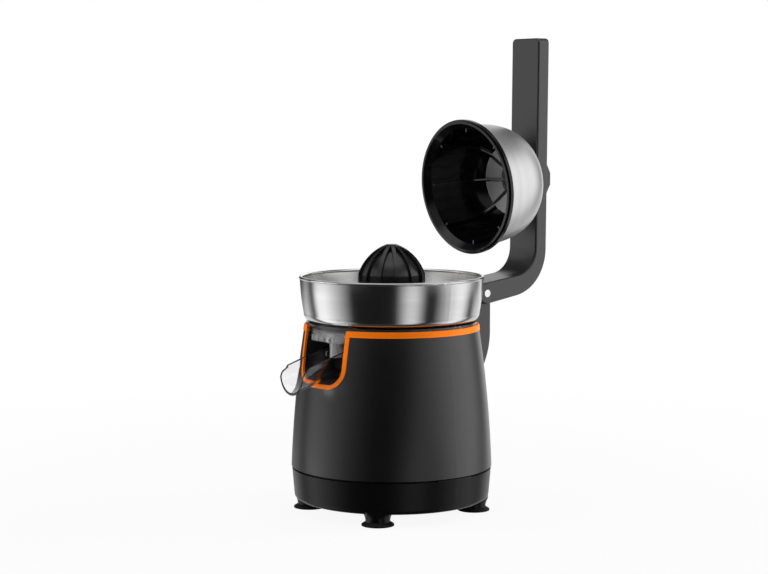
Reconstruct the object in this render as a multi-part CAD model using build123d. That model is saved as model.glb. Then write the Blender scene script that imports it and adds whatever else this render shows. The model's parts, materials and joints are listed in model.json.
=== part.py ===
from build123d import *
import math
import os

# Electric citrus press: a motor base with a steel bowl, a drip spout and a hinged lever with a press cup.
# Millimetres. Z is up from the feet, the spout looks to -Y, the lever hinge is at +Y.
# The origin is where the body's axis meets the surface it stands on.

# General clearances and overruns
overrun = 2.0
running_gap = 0.05
slide_gap = 0.06
part_gap = 0.4

# Housing
housing_foot_z = 37.9
housing_foot_r = 83.7
housing_top_z = 151.5
housing_taper = 11.4
housing_wall = 2.6
side_bulge = 1.75
deck_ledge_width = 3.2
deck_ledge_height = 4.0

# Orange trim on the housing's top edge and round the notch
trim_top_z = 156.3
trim_depth = 1.5
trim_proud = 0.5
trim_width = 3.4
trim_edge_r = 1.2

# Notch in the front of the housing
notch_half_width = 26.3
notch_bottom_z = 112.0
notch_corner_r = 13.5

# Base tray
tray_bottom_z = 10.0
tray_top_z = 36.1
seam_step = 0.5
tray_taper = 1.8
tray_edge_r = 5.0
tray_wall = 2.6
tray_floor = 2.6
spigot_height = 5.0
land_arc_angle = 12.0
vent_count = 7
vent_width = 3.0
vent_pitch = 6.5
vent_length = 34.0

# Legs and suction feet
leg_inset = 12.4
leg_bottom_r = 10.0
leg_flare_r = 12.0
leg_bottom_z = 3.2
leg_angles = (45.0, 135.0, 228.0, 312.0)
foot_r = 13.25
foot_stem_r = 4.0
foot_stem_height = 6.0
foot_dish_r = 10.0
foot_dish_depth = 1.2

# Base screws
base_screw_inset = 7.9
base_screw_angles = (20.0, 160.0, 200.0, 340.0)
base_post_r = 5.0
base_post_height = 22.0
base_screw_r = 1.75
base_screw_head_r = 3.4
base_screw_head_height = 2.4
base_screw_seat_z = 27.0
base_screw_length = 24.0

# Cord gland in the back of the tray
gland_z = 24.0
gland_r = 6.5
gland_bore_r = 3.6
gland_collar_r = 9.0
gland_collar_thick = 2.4
gland_inside = 8.0

# Top deck and the bay behind the notch
deck_top_z = 150.0
deck_thick = 3.0
deck_edge_gap = 0.4
bay_wall = 2.0
bay_inset = 32.3
deck_chimney_r = 7.4
deck_chimney_bore_r = 5.2
deck_chimney_top_z = 170.0
seal_height = 3.0
seal_gap = 0.3

# Juice collector, a clear tray under the bowl
collector_wall = 2.0
collector_inset = 3.7
collector_flange_inset = 1.3
collector_flange_thick = 2.0
collector_chimney_r = 12.0
collar_half_width = 19.5
collar_inset = 2.3
collar_depth = 22.0
collar_drop = 4.6
collar_rib_count = 5
collar_rib_width = 2.0
nozzle_inset = 14.7
nozzle_r = 5.6
nozzle_bore_r = 4.2
nozzle_bottom_z = 132.0
nozzle_flange_r = 7.2
nozzle_flange_thick = 1.6

# Steel bowl
bowl_rim_z = 196.0
bowl_overhang = 4.2
bowl_wall = 1.0
bowl_lip_r = 1.3
bowl_shoulder_overhang = 0.9
bowl_corner_r = 7.0
bowl_side_bulge = 0.6
bowl_chimney_r = 9.4
bowl_chimney_top_z = 175.0

# Strainer under the reamer
strainer_inset = 13.2
strainer_top_z = 168.6
strainer_thick = 1.6
strainer_hole_r = 11.0
strainer_slot_count = 20
strainer_slot_width = 2.2
strainer_slot_start_r = 31.0
strainer_slot_inset = 5.0
strainer_window_count = 10
strainer_window_width = 8.0
strainer_window_height = 4.5

# Reamer
reamer_base_r = 29.0
reamer_body_r = 25.6
reamer_rib_r = 28.0
reamer_shoulder_z = 197.0
reamer_top_z = 222.0
reamer_tip_r = 4.0
reamer_rib_count = 12
reamer_rib_width = 3.0
reamer_flange_thick = 2.4
reamer_hollow_r = 14.0
reamer_hollow_top_z = 181.0

# Drive shaft, which slides down a little under the fruit and starts the motor
shaft_r = 4.0
shaft_bottom_z = 72.0
shaft_hex_flats = 9.0
shaft_hex_bottom_z = 95.0
shaft_hex_top_z = 116.0
shaft_drive_bottom_z = 180.0
shaft_drive_top_z = 204.0
shaft_drive_flats = 6.6
press_travel = 2.5

# Gears: first stage from the motor pinion, second stage to the output gear
gearbox_gap = 3.4
stage_one_share = 0.64
pinion_teeth = 12
wheel_teeth = 60
compound_pinion_teeth = 12
output_teeth = 48
pressure_angle = 25.0
addendum_share = 0.95
dedendum_share = 1.25
flank_mid_share = 0.5
gear_backlash = 0.16
wheel_bottom_z = 87.0
wheel_thick = 6.0
output_bottom_z = 101.5
output_thick = 9.0
output_hub_r = 12.0
output_hub_rise = 1.4
output_web_cut = 2.5
compound_axle_r = 2.5
pinion_bottom_z = 85.6
pinion_length = 8.6

# Gearbox
gearbox_floor_z = 82.0
gearbox_floor = 2.6
gearbox_split_z = 97.0
gearbox_roof_z = 114.6
gearbox_wall = 2.4
gear_room = 1.6
pinion_room_r = 8.6
bush_wall = 2.0
bush_flange = 1.6
bush_flange_thick = 1.2
lower_bush_length = 8.0
upper_bush_length = 9.0
gearbox_foot_angles = (30.0, 90.0, 150.0, 210.0)
gearbox_foot_reach = 17.0
gearbox_foot_r = 5.5
gearbox_foot_thick = 4.0
gearbox_screw_r = 1.6
gearbox_screw_head_r = 3.0
gearbox_screw_head_height = 2.0
gearbox_screw_length = 14.0
post_foot_r = 8.6
post_foot_height = 7.0

# Spring housing, return spring, thrust cup and microswitch under the shaft
spring_tube_bore_r = 7.6
spring_tube_wall = 1.9
spring_tube_bottom_z = 44.0
spring_tube_floor = 2.0
thrust_cup_height = 10.0
thrust_cup_floor = 3.4
spring_mean_r = 5.2
spring_wire_r = 0.7
spring_turns = 6
spring_end_gap = 0.1
switch_arm_width = 4.0
switch_arm_thick = 3.0
switch_arm_reach = 17.0
switch_width = 20.0
switch_depth = 7.0
switch_height = 12.0
switch_pad = 1.0
plunger_r = 1.6
plunger_rise = 3.6
plunger_inside = 5.0

# Motor
motor_gap = 11.1
motor_tube_gap = 4.5
motor_wall = 1.4
motor_bottom_z = 31.0
motor_plate = 2.0
end_cap_thick = 3.0
stator_thick = 7.0
stator_bottom_z = 42.0
stator_height = 30.0
coil_height = 6.0
coil_inset = 1.4
rotor_gap = 0.6
rotor_overhang = 1.0
motor_shaft_r = 2.0
motor_bearing_r = 5.0
motor_bearing_height = 6.0
fan_inset = 4.0
fan_hub_r = 5.0
fan_disc_thick = 1.6
fan_height = 7.0
fan_blade_count = 9
fan_blade_thick = 1.6
fan_top_gap = 2.4
end_cap_vent_count = 4
end_cap_vent_inset = 9.4
end_cap_vent_r = 2.6

# Terminal block on the tray
terminal_width = 26.0
terminal_depth = 12.0
terminal_height = 11.0
terminal_inset = 15.3
terminal_way_count = 3
terminal_way_r = 2.2

# Spout, a smoky clear trough on two trunnions in the bay
spout_half_width = 15.5
spout_wall = 1.6
spout_slope = 17.6
spout_pivot_inset = 24.3
spout_pivot_z = 131.8
spout_keel_drop = 9.0
spout_depth = 19.0
spout_back = 2.6
spout_reach = 19.3
spout_mouth_round = 7.0
trunnion_r = 2.4
trunnion_end_gap = 0.4

# Hinge of the lever
pin_reach = 7.4
pin_z = 176.8
pin_r = 3.2
pin_proud = 0.5
tongue_r = 9.1
tongue_half_width = 10.8
tongue_straight_z = 143.0
tongue_sweep_r = 60.0
hinge_bush_wall = 1.3
hinge_bush_flange = 2.6
hinge_bush_thick = 0.6
bracket_screw_heights = (112.0, 136.0)
bracket_screw_r = 1.9
bracket_screw_head_r = 3.4
bracket_screw_head_height = 2.4
bracket_screw_length = 18.0
bracket_boss_r = 5.0
bracket_boss_depth = 3.0

# Lever arm
arm_half_width = 17.2
arm_thick = 12.7
arm_reach = 56.0
arm_lean = 0.61
arm_top_z = 395.0
arm_end_r = 9.2
leg_upper_slope = 6.9
leg_lower_slope = 8.9
arm_inner_bend_r = 23.0
arm_outer_bend_r = 40.0
arm_edge_r = 1.6
arm_top_corner_r = 4.0
channel_bottom_z = 226.0
channel_top_gap = 9.0
channel_half_width = 12.2
channel_floor = 3.0
core_half_width = 9.0
core_thick = 4.0
cover_thick = 2.2
cover_side_gap = 0.2
pad_height = 26.0
pad_side_step = 0.7
pad_proud = 5.4
pad_slope_run = 8.0
pad_edge = 0.8
lever_screw_r = 1.6
lever_screw_head_r = 3.0
lever_screw_head_height = 1.5
lever_screw_end = 12.0

# Press cup, drawn as it sits over the reamer and then swung up with the lever
press_angle = 84.8
cup_rim_z = 173.2
cup_rim_r = 57.7
cup_rim_height = 4.6
cup_lip_step = 1.5
cup_lip_step_height = 1.8
cup_mouth_r = 54.2
cup_mouth_depth = 6.0
cup_r = 53.0
cup_depth = 65.5
cup_flat_r = 17.0
cup_shell_wall = 1.0
liner_wall = 2.2
insert_wall = 1.2
fin_count = 8
fin_thick = 1.4
fin_height = 3.0
petal_inner_r = 15.0
petal_outer_r = 30.0
petal_gap = 3.4
petal_height = 4.2
petal_slope_drop = 5.0
stud_r = 3.0
stud_head_r = 6.5
stud_head_height = 2.4
stud_spacer_r = 12.0
nut_r = 5.6
nut_height = 4.0
dome_radius_shares = (1.0, 0.985, 0.93, 0.80, 0.60)
dome_height_shares = (0.0, 0.28, 0.58, 0.80, 0.94)

os.makedirs("parts", exist_ok=True)
up = (Align.CENTER, Align.CENTER, Align.MIN)


# Radii and places that follow the housing's foot
trim_top_r = housing_foot_r - housing_taper
tray_top_r = housing_foot_r - seam_step
tray_foot_r = tray_top_r - tray_taper
tray_inner_r = tray_foot_r - tray_wall
spigot_r = housing_foot_r - housing_wall - part_gap
leg_circle_r = tray_foot_r - leg_inset
base_screw_circle_r = tray_foot_r - base_screw_inset
terminal_y = tray_inner_r - terminal_inset
bay_back_y = bay_inset - trim_top_r
bay_end_y = bay_back_y + bay_wall
collector_r = trim_top_r - collector_inset
collector_flange_r = trim_top_r - collector_flange_inset
collar_front_y = collar_inset - trim_top_r
collar_back_y = collar_front_y + collar_depth
nozzle_y = nozzle_inset - trim_top_r
bowl_rim_r = trim_top_r + bowl_overhang
bowl_shoulder_r = trim_top_r + bowl_shoulder_overhang
strainer_r = bowl_shoulder_r - strainer_inset
strainer_slot_end_r = strainer_r - strainer_slot_inset
spout_pivot_y = spout_pivot_inset - trim_top_r
spout_mouth_y = -housing_foot_r - spout_reach
pin_y = housing_foot_r + pin_reach
arm_face_y = pin_y + arm_reach
tube_outer_r = spring_tube_bore_r + spring_tube_wall
motor_inner_y = tube_outer_r + motor_tube_gap
motor_r = (housing_foot_r - housing_wall - motor_gap - motor_inner_y) / 2
motor_offset = motor_inner_y + motor_r
stator_outer_r = motor_r - motor_wall
stator_inner_r = stator_outer_r - stator_thick
rotor_r = stator_inner_r - rotor_gap
fan_r = motor_r - fan_inset

# Helpers for turned, drilled and placed solids

def turned(*edges):
    """Solid of revolution about Z from a closed outline of radius and height."""
    return revolve(Plane.XZ * make_face(edges), Axis.Z)


def outline(*points):
    """Closed outline through points."""
    return Polyline(*points, close=True)


def rod(radius, bottom, top, x=0, y=0):
    """Upright cylinder between two heights."""
    return Pos(x, y, bottom) * Cylinder(radius, top - bottom, align=up)


def tube(outer, inner, bottom, top, x=0, y=0):
    """Upright tube between two heights."""
    return rod(outer, bottom, top, x, y) - rod(inner, bottom - overrun, top + overrun, x, y)


def block(low, high):
    """Box between two corners."""
    size = [b - a for a, b in zip(low, high)]
    return Pos(*low) * Box(*size, align=(Align.MIN, Align.MIN, Align.MIN))


def rod_y(radius, start, end, x, z):
    """Cylinder along Y between two places."""
    return Pos(x, start, z) * (Rot(-90, 0, 0) * Cylinder(radius, end - start, align=up))


def rod_x(radius, start, end, y, z):
    """Cylinder along X between two places."""
    return Pos(start, y, z) * (Rot(0, 90, 0) * Cylinder(radius, end - start, align=up))


def on_circle(radius, angle):
    """Place on a circle about the body's axis."""
    turn = math.radians(angle)
    return radius * math.cos(turn), radius * math.sin(turn)


def hexagon(flats, bottom, top):
    """Upright hexagonal bar, measured across its flats."""
    half_corner = flats / math.sqrt(3)
    return Pos(0, 0, bottom) * extrude(RegularPolygon(half_corner, 6), top - bottom)


def side_shape(proud):
    """Solid inside the body's bulged side, moved out by a distance."""
    foot = (housing_foot_r + proud, housing_foot_z)
    top = (trim_top_r + proud, trim_top_z)
    return turned(
        Line((0, housing_foot_z), foot),
        SagittaArc(foot, top, -side_bulge),
        Line(top, (0, trim_top_z)),
        Line((0, trim_top_z), (0, housing_foot_z)),
    )


def notch_shape(grow, start=0):
    """Solid U-shaped prism through the front of the body, widened by a distance."""
    height = trim_top_z + overrun - notch_bottom_z + grow
    face = Rectangle(2 * (notch_half_width + grow), height, align=(Align.CENTER, Align.MIN))
    face = fillet(face.vertices().group_by(Axis.Y)[0], notch_corner_r + grow)
    prism = extrude(face, housing_foot_r + overrun + start)
    return Pos(0, start, notch_bottom_z - grow) * (Rot(90, 0, 0) * prism)


def raised(shape):
    """Swing a piece of the lever from the pressed place up to its rest."""
    return shape.rotate(Axis((0, pin_y, pin_z), (1, 0, 0)), -press_angle)


def group(shapes):
    """Separate solids kept together in one node."""
    return Compound(children=[shape.solid() for shape in shapes])


nodes = {}

# Places worked out from the sizes above
side_room = -housing_wall
post_split_z = tray_top_z + spigot_height
collector_top_z = trim_top_z + collector_flange_thick
bowl_floor_z = collector_top_z
reamer_bottom_z = strainer_top_z + press_travel + part_gap

gear_reach = trim_top_r - housing_wall - gearbox_gap - gear_room - gearbox_wall
stage_two_count = (compound_pinion_teeth + output_teeth) / 2
stage_two_module = gear_reach / (stage_two_count + stage_one_share * (wheel_teeth / 2 + 1))
stage_one_module = stage_one_share * stage_two_module
stage_one_centre = stage_one_module * (pinion_teeth + wheel_teeth) / 2
stage_two_centre = stage_two_module * stage_two_count
compound_y = -(motor_offset**2 + stage_two_centre**2 - stage_one_centre**2) / (2 * motor_offset)
compound_x = math.sqrt(stage_two_centre**2 - compound_y**2)
motor_y = -motor_offset
axle_top_z = gearbox_roof_z - gearbox_wall / 2
wheel_r = stage_one_module * wheel_teeth / 2
output_r = stage_two_module * output_teeth / 2
compound_pinion_r = stage_two_module * compound_pinion_teeth / 2
gearbox_foot_circle_r = output_r + gearbox_foot_reach
to_motor = math.degrees(math.atan2(motor_y - compound_y, -compound_x))
to_output = math.degrees(math.atan2(-compound_y, -compound_x))

tongue_back_y = pin_y + tongue_r
cheek_inner_x = tongue_half_width + hinge_bush_thick + part_gap
cup_shell_top_z = cup_rim_z + cup_depth
insert_inset = cup_shell_wall + liner_wall
insert_roof_z = cup_shell_top_z - insert_inset - insert_wall


# Housing with its screw posts, deck ledge and bracket bosses
def make_housing():
    shell = side_shape(0) - side_shape(side_room)
    shell = shell - rod(housing_foot_r + overrun, housing_top_z, trim_top_z + overrun)
    ledge_top = deck_top_z - deck_thick
    ledge_inner = trim_top_r - housing_wall - deck_ledge_width
    ledge = tube(trim_top_r, ledge_inner, ledge_top - deck_ledge_height, ledge_top)
    ledge = ledge - notch_shape(bay_wall + part_gap)
    body = shell + (ledge & side_shape(side_room + housing_wall / 2))
    for angle in base_screw_angles:
        x, y = on_circle(base_screw_circle_r, angle)
        post = rod(base_post_r, post_split_z, post_split_z + base_post_height, x, y)
        web_end = housing_foot_r - base_screw_circle_r
        web = block((0, -base_post_r / 2, 0), (web_end, base_post_r / 2, base_post_height))
        web = Pos(x, y, post_split_z) * (Rot(0, 0, angle) * web)
        body = body + ((post + web) & side_shape(side_room + housing_wall / 2))
        body = body - rod(base_screw_r, post_split_z - overrun, base_screw_seat_z + base_screw_length, x, y)
    for z in bracket_screw_heights:
        seat = bracket_seat_y(z)
        boss = rod_y(bracket_boss_r, seat, housing_foot_r, 0, z)
        body = body + (boss & side_shape(side_room + housing_wall / 2))
        body = body - rod_y(bracket_screw_r, 0, housing_foot_r + overrun, 0, z)
    inlay = notch_shape(trim_width) - side_shape(-trim_depth)
    return body - inlay - notch_shape(0)


def bracket_seat_y(z):
    """Flat seat of a bracket screw's head inside the housing."""
    share = (z - housing_foot_z) / (trim_top_z - housing_foot_z)
    wall_y = housing_foot_r + (trim_top_r - housing_foot_r) * share - housing_wall
    return wall_y - bracket_boss_depth


nodes["body_housing"] = make_housing()


# Orange trim along the top edge and round the notch
def make_trim():
    skin = side_shape(trim_proud)
    ring = skin - side_shape(side_room) - rod(housing_foot_r + overrun, 0, housing_top_z)
    edge = (skin - side_shape(-trim_depth)) & notch_shape(trim_width)
    trim = (ring + edge) - notch_shape(0)
    top_edges = trim.edges().filter_by(GeomType.CIRCLE).group_by(Axis.Z)[-1]
    return fillet(top_edges.group_by(SortBy.RADIUS)[-1], trim_edge_r)


nodes["trim_ring"] = make_trim()


# Base tray with skirt, spigot, legs, posts and vents
def tray_skin():
    """Solid outside of the tray, with the spigot that fits inside the housing."""
    outer_foot = tray_foot_r - tray_edge_r
    return turned(
        Line((0, tray_bottom_z), (outer_foot, tray_bottom_z)),
        RadiusArc((outer_foot, tray_bottom_z), (tray_foot_r, tray_bottom_z + tray_edge_r), -tray_edge_r),
        Line((tray_foot_r, tray_bottom_z + tray_edge_r), (tray_top_r, tray_top_z)),
        Line((tray_top_r, tray_top_z), (spigot_r, tray_top_z)),
        Line((spigot_r, tray_top_z), (spigot_r, tray_top_z + spigot_height)),
        Line((spigot_r, tray_top_z + spigot_height), (0, tray_top_z + spigot_height)),
        Line((0, tray_top_z + spigot_height), (0, tray_bottom_z)),
    )


def leg_shape():
    """Leg that flares out upwards into the tray's floor."""
    foot = (leg_bottom_r, leg_bottom_z)
    top = (leg_bottom_r + leg_flare_r, leg_bottom_z + leg_flare_r)
    return turned(
        Line((0, leg_bottom_z), foot),
        RadiusArc(foot, top, leg_flare_r),
        Line(top, (0, leg_bottom_z + leg_flare_r)),
        Line((0, leg_bottom_z + leg_flare_r), (0, leg_bottom_z)),
    )


def make_tray():
    body = tray_skin()
    leg_room = rod(tray_foot_r - part_gap, 0, tray_bottom_z + tray_edge_r)
    for angle in leg_angles:
        x, y = on_circle(leg_circle_r, angle)
        body = body + (Pos(x, y, 0) * leg_shape() & leg_room)
    body = body - rod(tray_inner_r, tray_bottom_z + tray_floor, tray_top_z + spigot_height + overrun)
    land_room = (housing_foot_z - tray_top_z) / 2
    for start in (0, 180):
        land = tube(tray_top_r, spigot_r - tray_wall / 2, tray_top_z, tray_top_z + land_room)
        wedge = extrude(make_face(outline(
            (0, 0),
            on_circle(2 * tray_top_r, start - land_arc_angle),
            on_circle(2 * tray_top_r, start + land_arc_angle),
        )), housing_foot_z)
        body = body + (land & wedge)
    for angle in base_screw_angles:
        x, y = on_circle(base_screw_circle_r, angle)
        body = body + rod(base_post_r, tray_bottom_z + tray_floor / 2, post_split_z, x, y)
        body = body - rod(base_screw_head_r + part_gap, 0, base_screw_seat_z, x, y)
        body = body - rod(base_screw_r, 0, post_split_z + overrun, x, y)
    for angle in leg_angles:
        x, y = on_circle(leg_circle_r, angle)
        body = body - rod(foot_stem_r, 0, leg_bottom_z + foot_stem_height, x, y)
    for angle in gearbox_foot_angles:
        x, y = on_circle(gearbox_foot_circle_r, angle)
        post = rod(gearbox_foot_r, tray_bottom_z + tray_floor / 2, gearbox_floor_z, x, y)
        post_foot = Cone(post_foot_r, gearbox_foot_r, post_foot_height, align=up)
        body = body + post + Pos(x, y, tray_bottom_z + tray_floor / 2) * post_foot
        screw_end = gearbox_floor_z - gearbox_screw_length
        body = body - rod(gearbox_screw_r, screw_end, gearbox_floor_z + overrun, x, y)
    for index in range(vent_count):
        x = (index - (vent_count - 1) / 2) * vent_pitch
        slot = SlotOverall(vent_length, vent_width, rotation=90)
        body = body - Pos(x, motor_y, 0) * extrude(slot, tray_bottom_z + tray_floor + overrun)
    body = body - rod_y(gland_r, tray_inner_r - tray_wall, tray_top_r + overrun, 0, gland_z)
    return body


nodes["base_tray"] = make_tray()


# Rubber suction feet
def make_foot(angle):
    x, y = on_circle(leg_circle_r, angle)
    neck_r = foot_stem_r
    rim = leg_bottom_z / 3
    disc = turned(
        Line((0, 0), (foot_dish_r, 0)),
        Line((foot_dish_r, 0), (foot_r, 0)),
        Line((foot_r, 0), (foot_r, rim)),
        Line((foot_r, rim), (leg_bottom_r, leg_bottom_z)),
        Line((leg_bottom_r, leg_bottom_z), (neck_r, leg_bottom_z)),
        Line((neck_r, leg_bottom_z), (neck_r, leg_bottom_z + foot_stem_height)),
        Line((neck_r, leg_bottom_z + foot_stem_height), (0, leg_bottom_z + foot_stem_height)),
        Line((0, leg_bottom_z + foot_stem_height), (0, 0)),
    )
    dish = Cone(foot_dish_r, foot_dish_r / 3, foot_dish_depth, align=up)
    return Pos(x, y, 0) * (disc - dish)


nodes["suction_feet"] = group([make_foot(angle) for angle in leg_angles])


# Screws that hold the tray to the housing
def make_base_screw(angle):
    x, y = on_circle(base_screw_circle_r, angle)
    head_bottom = base_screw_seat_z - base_screw_head_height
    head = rod(base_screw_head_r, head_bottom, base_screw_seat_z, x, y)
    slot = rod(base_screw_r / 2, head_bottom, head_bottom + base_screw_head_height / 2, x, y)
    return head - slot + rod(base_screw_r, base_screw_seat_z, base_screw_seat_z + base_screw_length, x, y)


nodes["base_screws"] = group([make_base_screw(angle) for angle in base_screw_angles])


# Gland that the supply lead enters by
def make_gland():
    collar_y = tray_top_r + gland_collar_thick
    barrel = rod_y(gland_r, tray_inner_r - gland_inside, collar_y, 0, gland_z)
    collar = rod_y(gland_collar_r, tray_inner_r, collar_y, 0, gland_z) - tray_skin()
    return barrel + collar - rod_y(gland_bore_r, 0, collar_y + overrun, 0, gland_z)


nodes["cord_gland"] = make_gland()


# Deck under the bowl, with the bay behind the notch and the shaft chimney
def make_deck():
    room = side_shape(side_room - deck_edge_gap)
    plate = rod(housing_foot_r, deck_top_z - deck_thick, deck_top_z) & room
    bay_front = room & block(
        (-housing_foot_r, -housing_foot_r, housing_foot_z), (housing_foot_r, bay_end_y, deck_top_z))
    plate = plate - notch_shape(0, bay_back_y)
    wall = (notch_shape(bay_wall, bay_end_y) - notch_shape(0, bay_back_y)) & bay_front
    chimney = rod(deck_chimney_r, deck_top_z - deck_thick, deck_chimney_top_z)
    deck = plate + wall + chimney
    deck = deck - rod(deck_chimney_bore_r, gearbox_roof_z, deck_chimney_top_z + overrun)
    seal_bottom = deck_chimney_top_z - seal_height
    deck = deck - rod(deck_chimney_r - bay_wall / 2, seal_bottom, deck_chimney_top_z + overrun)
    for side in (-1, 1):
        end = side * (notch_half_width + bay_wall + overrun)
        low_x, high_x = min(0, end), max(0, end)
        deck = deck - rod_x(trunnion_r + running_gap, low_x, high_x, spout_pivot_y, spout_pivot_z)
    return deck


nodes["top_deck"] = make_deck()

nodes["shaft_seal"] = tube(
    deck_chimney_r - bay_wall / 2, shaft_r + seal_gap, deck_chimney_top_z - seal_height, deck_chimney_top_z)


# Clear collector tray with its outlet collar, and the nozzle sleeve pushed into it
def make_collector():
    floor_top = deck_top_z + collector_wall
    flange_z = trim_top_z
    tray = tube(collector_r, collector_chimney_r, deck_top_z, flange_z)
    tray = tray + tube(collector_flange_r, collector_chimney_r, flange_z, collector_top_z)
    hollow_r = collector_r - collector_wall
    hollow = tube(hollow_r, collector_chimney_r + collector_wall, floor_top, collector_top_z + overrun)
    tray = tray - hollow
    collar_bottom = deck_top_z - collar_drop
    collar = block(
        (-collar_half_width, collar_front_y, collar_bottom), (collar_half_width, collar_back_y, deck_top_z))
    collar = collar & rod(collector_flange_r, 0, deck_top_z)
    tray = tray + collar
    pitch = 2 * collar_half_width / collar_rib_count
    for index in range(collar_rib_count):
        x = (index + 1 / 2) * pitch - collar_half_width
        groove = block(
            (x - collar_rib_width / 2, collar_front_y - overrun, collar_bottom - overrun),
            (x + collar_rib_width / 2, collar_front_y + collar_rib_width, deck_top_z - collector_wall / 2),
        )
        tray = tray - groove
    return tray - rod(nozzle_r, 0, floor_top + overrun, 0, nozzle_y)


nodes["juice_collector"] = make_collector()


def make_nozzle():
    collar_bottom = deck_top_z - collar_drop
    sleeve = rod(nozzle_r, nozzle_bottom_z, deck_top_z + collector_wall, 0, nozzle_y)
    sleeve = sleeve + rod(nozzle_flange_r, collar_bottom - nozzle_flange_thick, collar_bottom, 0, nozzle_y)
    return sleeve - rod(nozzle_bore_r, 0, trim_top_z, 0, nozzle_y)


nodes["outlet_nozzle"] = make_nozzle()


# Steel bowl with rolled lip and chimney
def bowl_outline(inset):
    corner_z = bowl_floor_z + bowl_corner_r
    floor_r = bowl_shoulder_r - bowl_corner_r
    rim = (bowl_rim_r - inset, bowl_rim_z)
    shoulder = (bowl_shoulder_r - inset, corner_z)
    floor = (floor_r, bowl_floor_z + inset)
    return turned(
        Line((0, bowl_floor_z + inset), floor),
        RadiusArc(floor, shoulder, -(bowl_corner_r - inset)),
        SagittaArc(shoulder, rim, -bowl_side_bulge),
        Line(rim, (0, bowl_rim_z)),
        Line((0, bowl_rim_z), (0, bowl_floor_z + inset)),
    )


def make_bowl():
    bowl = bowl_outline(0) - bowl_outline(bowl_wall)
    lip = Pos(0, 0, bowl_rim_z - bowl_lip_r) * Torus(bowl_rim_r - bowl_lip_r + bowl_wall / 2, bowl_lip_r)
    bowl = bowl + lip
    bowl = bowl + tube(bowl_chimney_r, bowl_chimney_r - bowl_wall, bowl_floor_z, bowl_chimney_top_z)
    bowl = bowl - rod(bowl_chimney_r - bowl_wall, 0, bowl_chimney_top_z + overrun)
    return bowl - rod(nozzle_bore_r, 0, bowl_floor_z + bowl_wall + overrun, 0, nozzle_y)


nodes["bowl"] = make_bowl()


# Strainer ring that stands on the bowl's floor
def make_strainer():
    floor_z = bowl_floor_z + bowl_wall
    disc = tube(strainer_r, strainer_hole_r, strainer_top_z - strainer_thick, strainer_top_z)
    skirt = tube(strainer_r, strainer_r - strainer_thick, floor_z, strainer_top_z)
    body = disc + skirt
    middle_r = (strainer_slot_start_r + strainer_slot_end_r) / 2
    length = strainer_slot_end_r - strainer_slot_start_r
    slot = extrude(SlotOverall(length, strainer_slot_width), 3 * strainer_thick)
    for index in range(strainer_slot_count):
        angle = 360 * index / strainer_slot_count
        body = body - Rot(0, 0, angle) * (Pos(middle_r, 0, strainer_top_z - 2 * strainer_thick) * slot)
    outer_end = (Align.MAX, Align.CENTER, Align.MIN)
    window = Box(2 * strainer_thick, strainer_window_width, strainer_window_height, align=outer_end)
    for index in range(strainer_window_count):
        angle = 360 * (index + 1 / 2) / strainer_window_count
        body = body - Rot(0, 0, angle) * (Pos(strainer_r + strainer_thick / 2, 0, floor_z) * window)
    return body


nodes["strainer"] = make_strainer()


# Reamer: a ribbed cone on a flanged foot, hollow over the chimney
def reamer_shape(base_r, top_z):
    return turned(
        Line((0, reamer_bottom_z), (base_r, reamer_bottom_z)),
        Line((base_r, reamer_bottom_z), (base_r, reamer_shoulder_z)),
        SagittaArc((base_r, reamer_shoulder_z), (reamer_tip_r, top_z), -reamer_tip_r),
        Line((reamer_tip_r, top_z), (0, top_z)),
        Line((0, top_z), (0, reamer_bottom_z)),
    )


def make_reamer():
    body = reamer_shape(reamer_body_r, reamer_top_z - reamer_tip_r)
    ribs_room = reamer_shape(reamer_rib_r, reamer_top_z)
    rib_half = reamer_rib_width / 2
    rib = block((0, -rib_half, reamer_bottom_z), (reamer_base_r, rib_half, reamer_top_z + overrun))
    for index in range(reamer_rib_count):
        body = body + (Rot(0, 0, 360 * index / reamer_rib_count) * rib & ribs_room)
    body = body + rod(reamer_base_r, reamer_bottom_z, reamer_bottom_z + reamer_flange_thick)
    body = body - rod(reamer_hollow_r, reamer_bottom_z - overrun, reamer_hollow_top_z)
    socket_flats = shaft_drive_flats + 2 * running_gap
    return body - hexagon(socket_flats, reamer_hollow_top_z - overrun, shaft_drive_top_z)


nodes["reamer"] = make_reamer()


# Drive shaft with a hexagon for the gear and one for the reamer
def make_shaft():
    shaft = rod(shaft_r, shaft_bottom_z, shaft_drive_bottom_z)
    shaft = shaft + hexagon(shaft_hex_flats, shaft_hex_bottom_z, shaft_hex_top_z)
    return shaft + hexagon(shaft_drive_flats, shaft_drive_bottom_z, shaft_drive_top_z)


nodes["drive_shaft"] = make_shaft()


# Involute spur gears
def involute(base_r, radius):
    """Roll angle's polar offset of an involute where it reaches a radius."""
    ratio = max(radius / base_r, 1)
    swing = math.sqrt(ratio**2 - 1)
    return swing - math.atan(swing)


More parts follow.
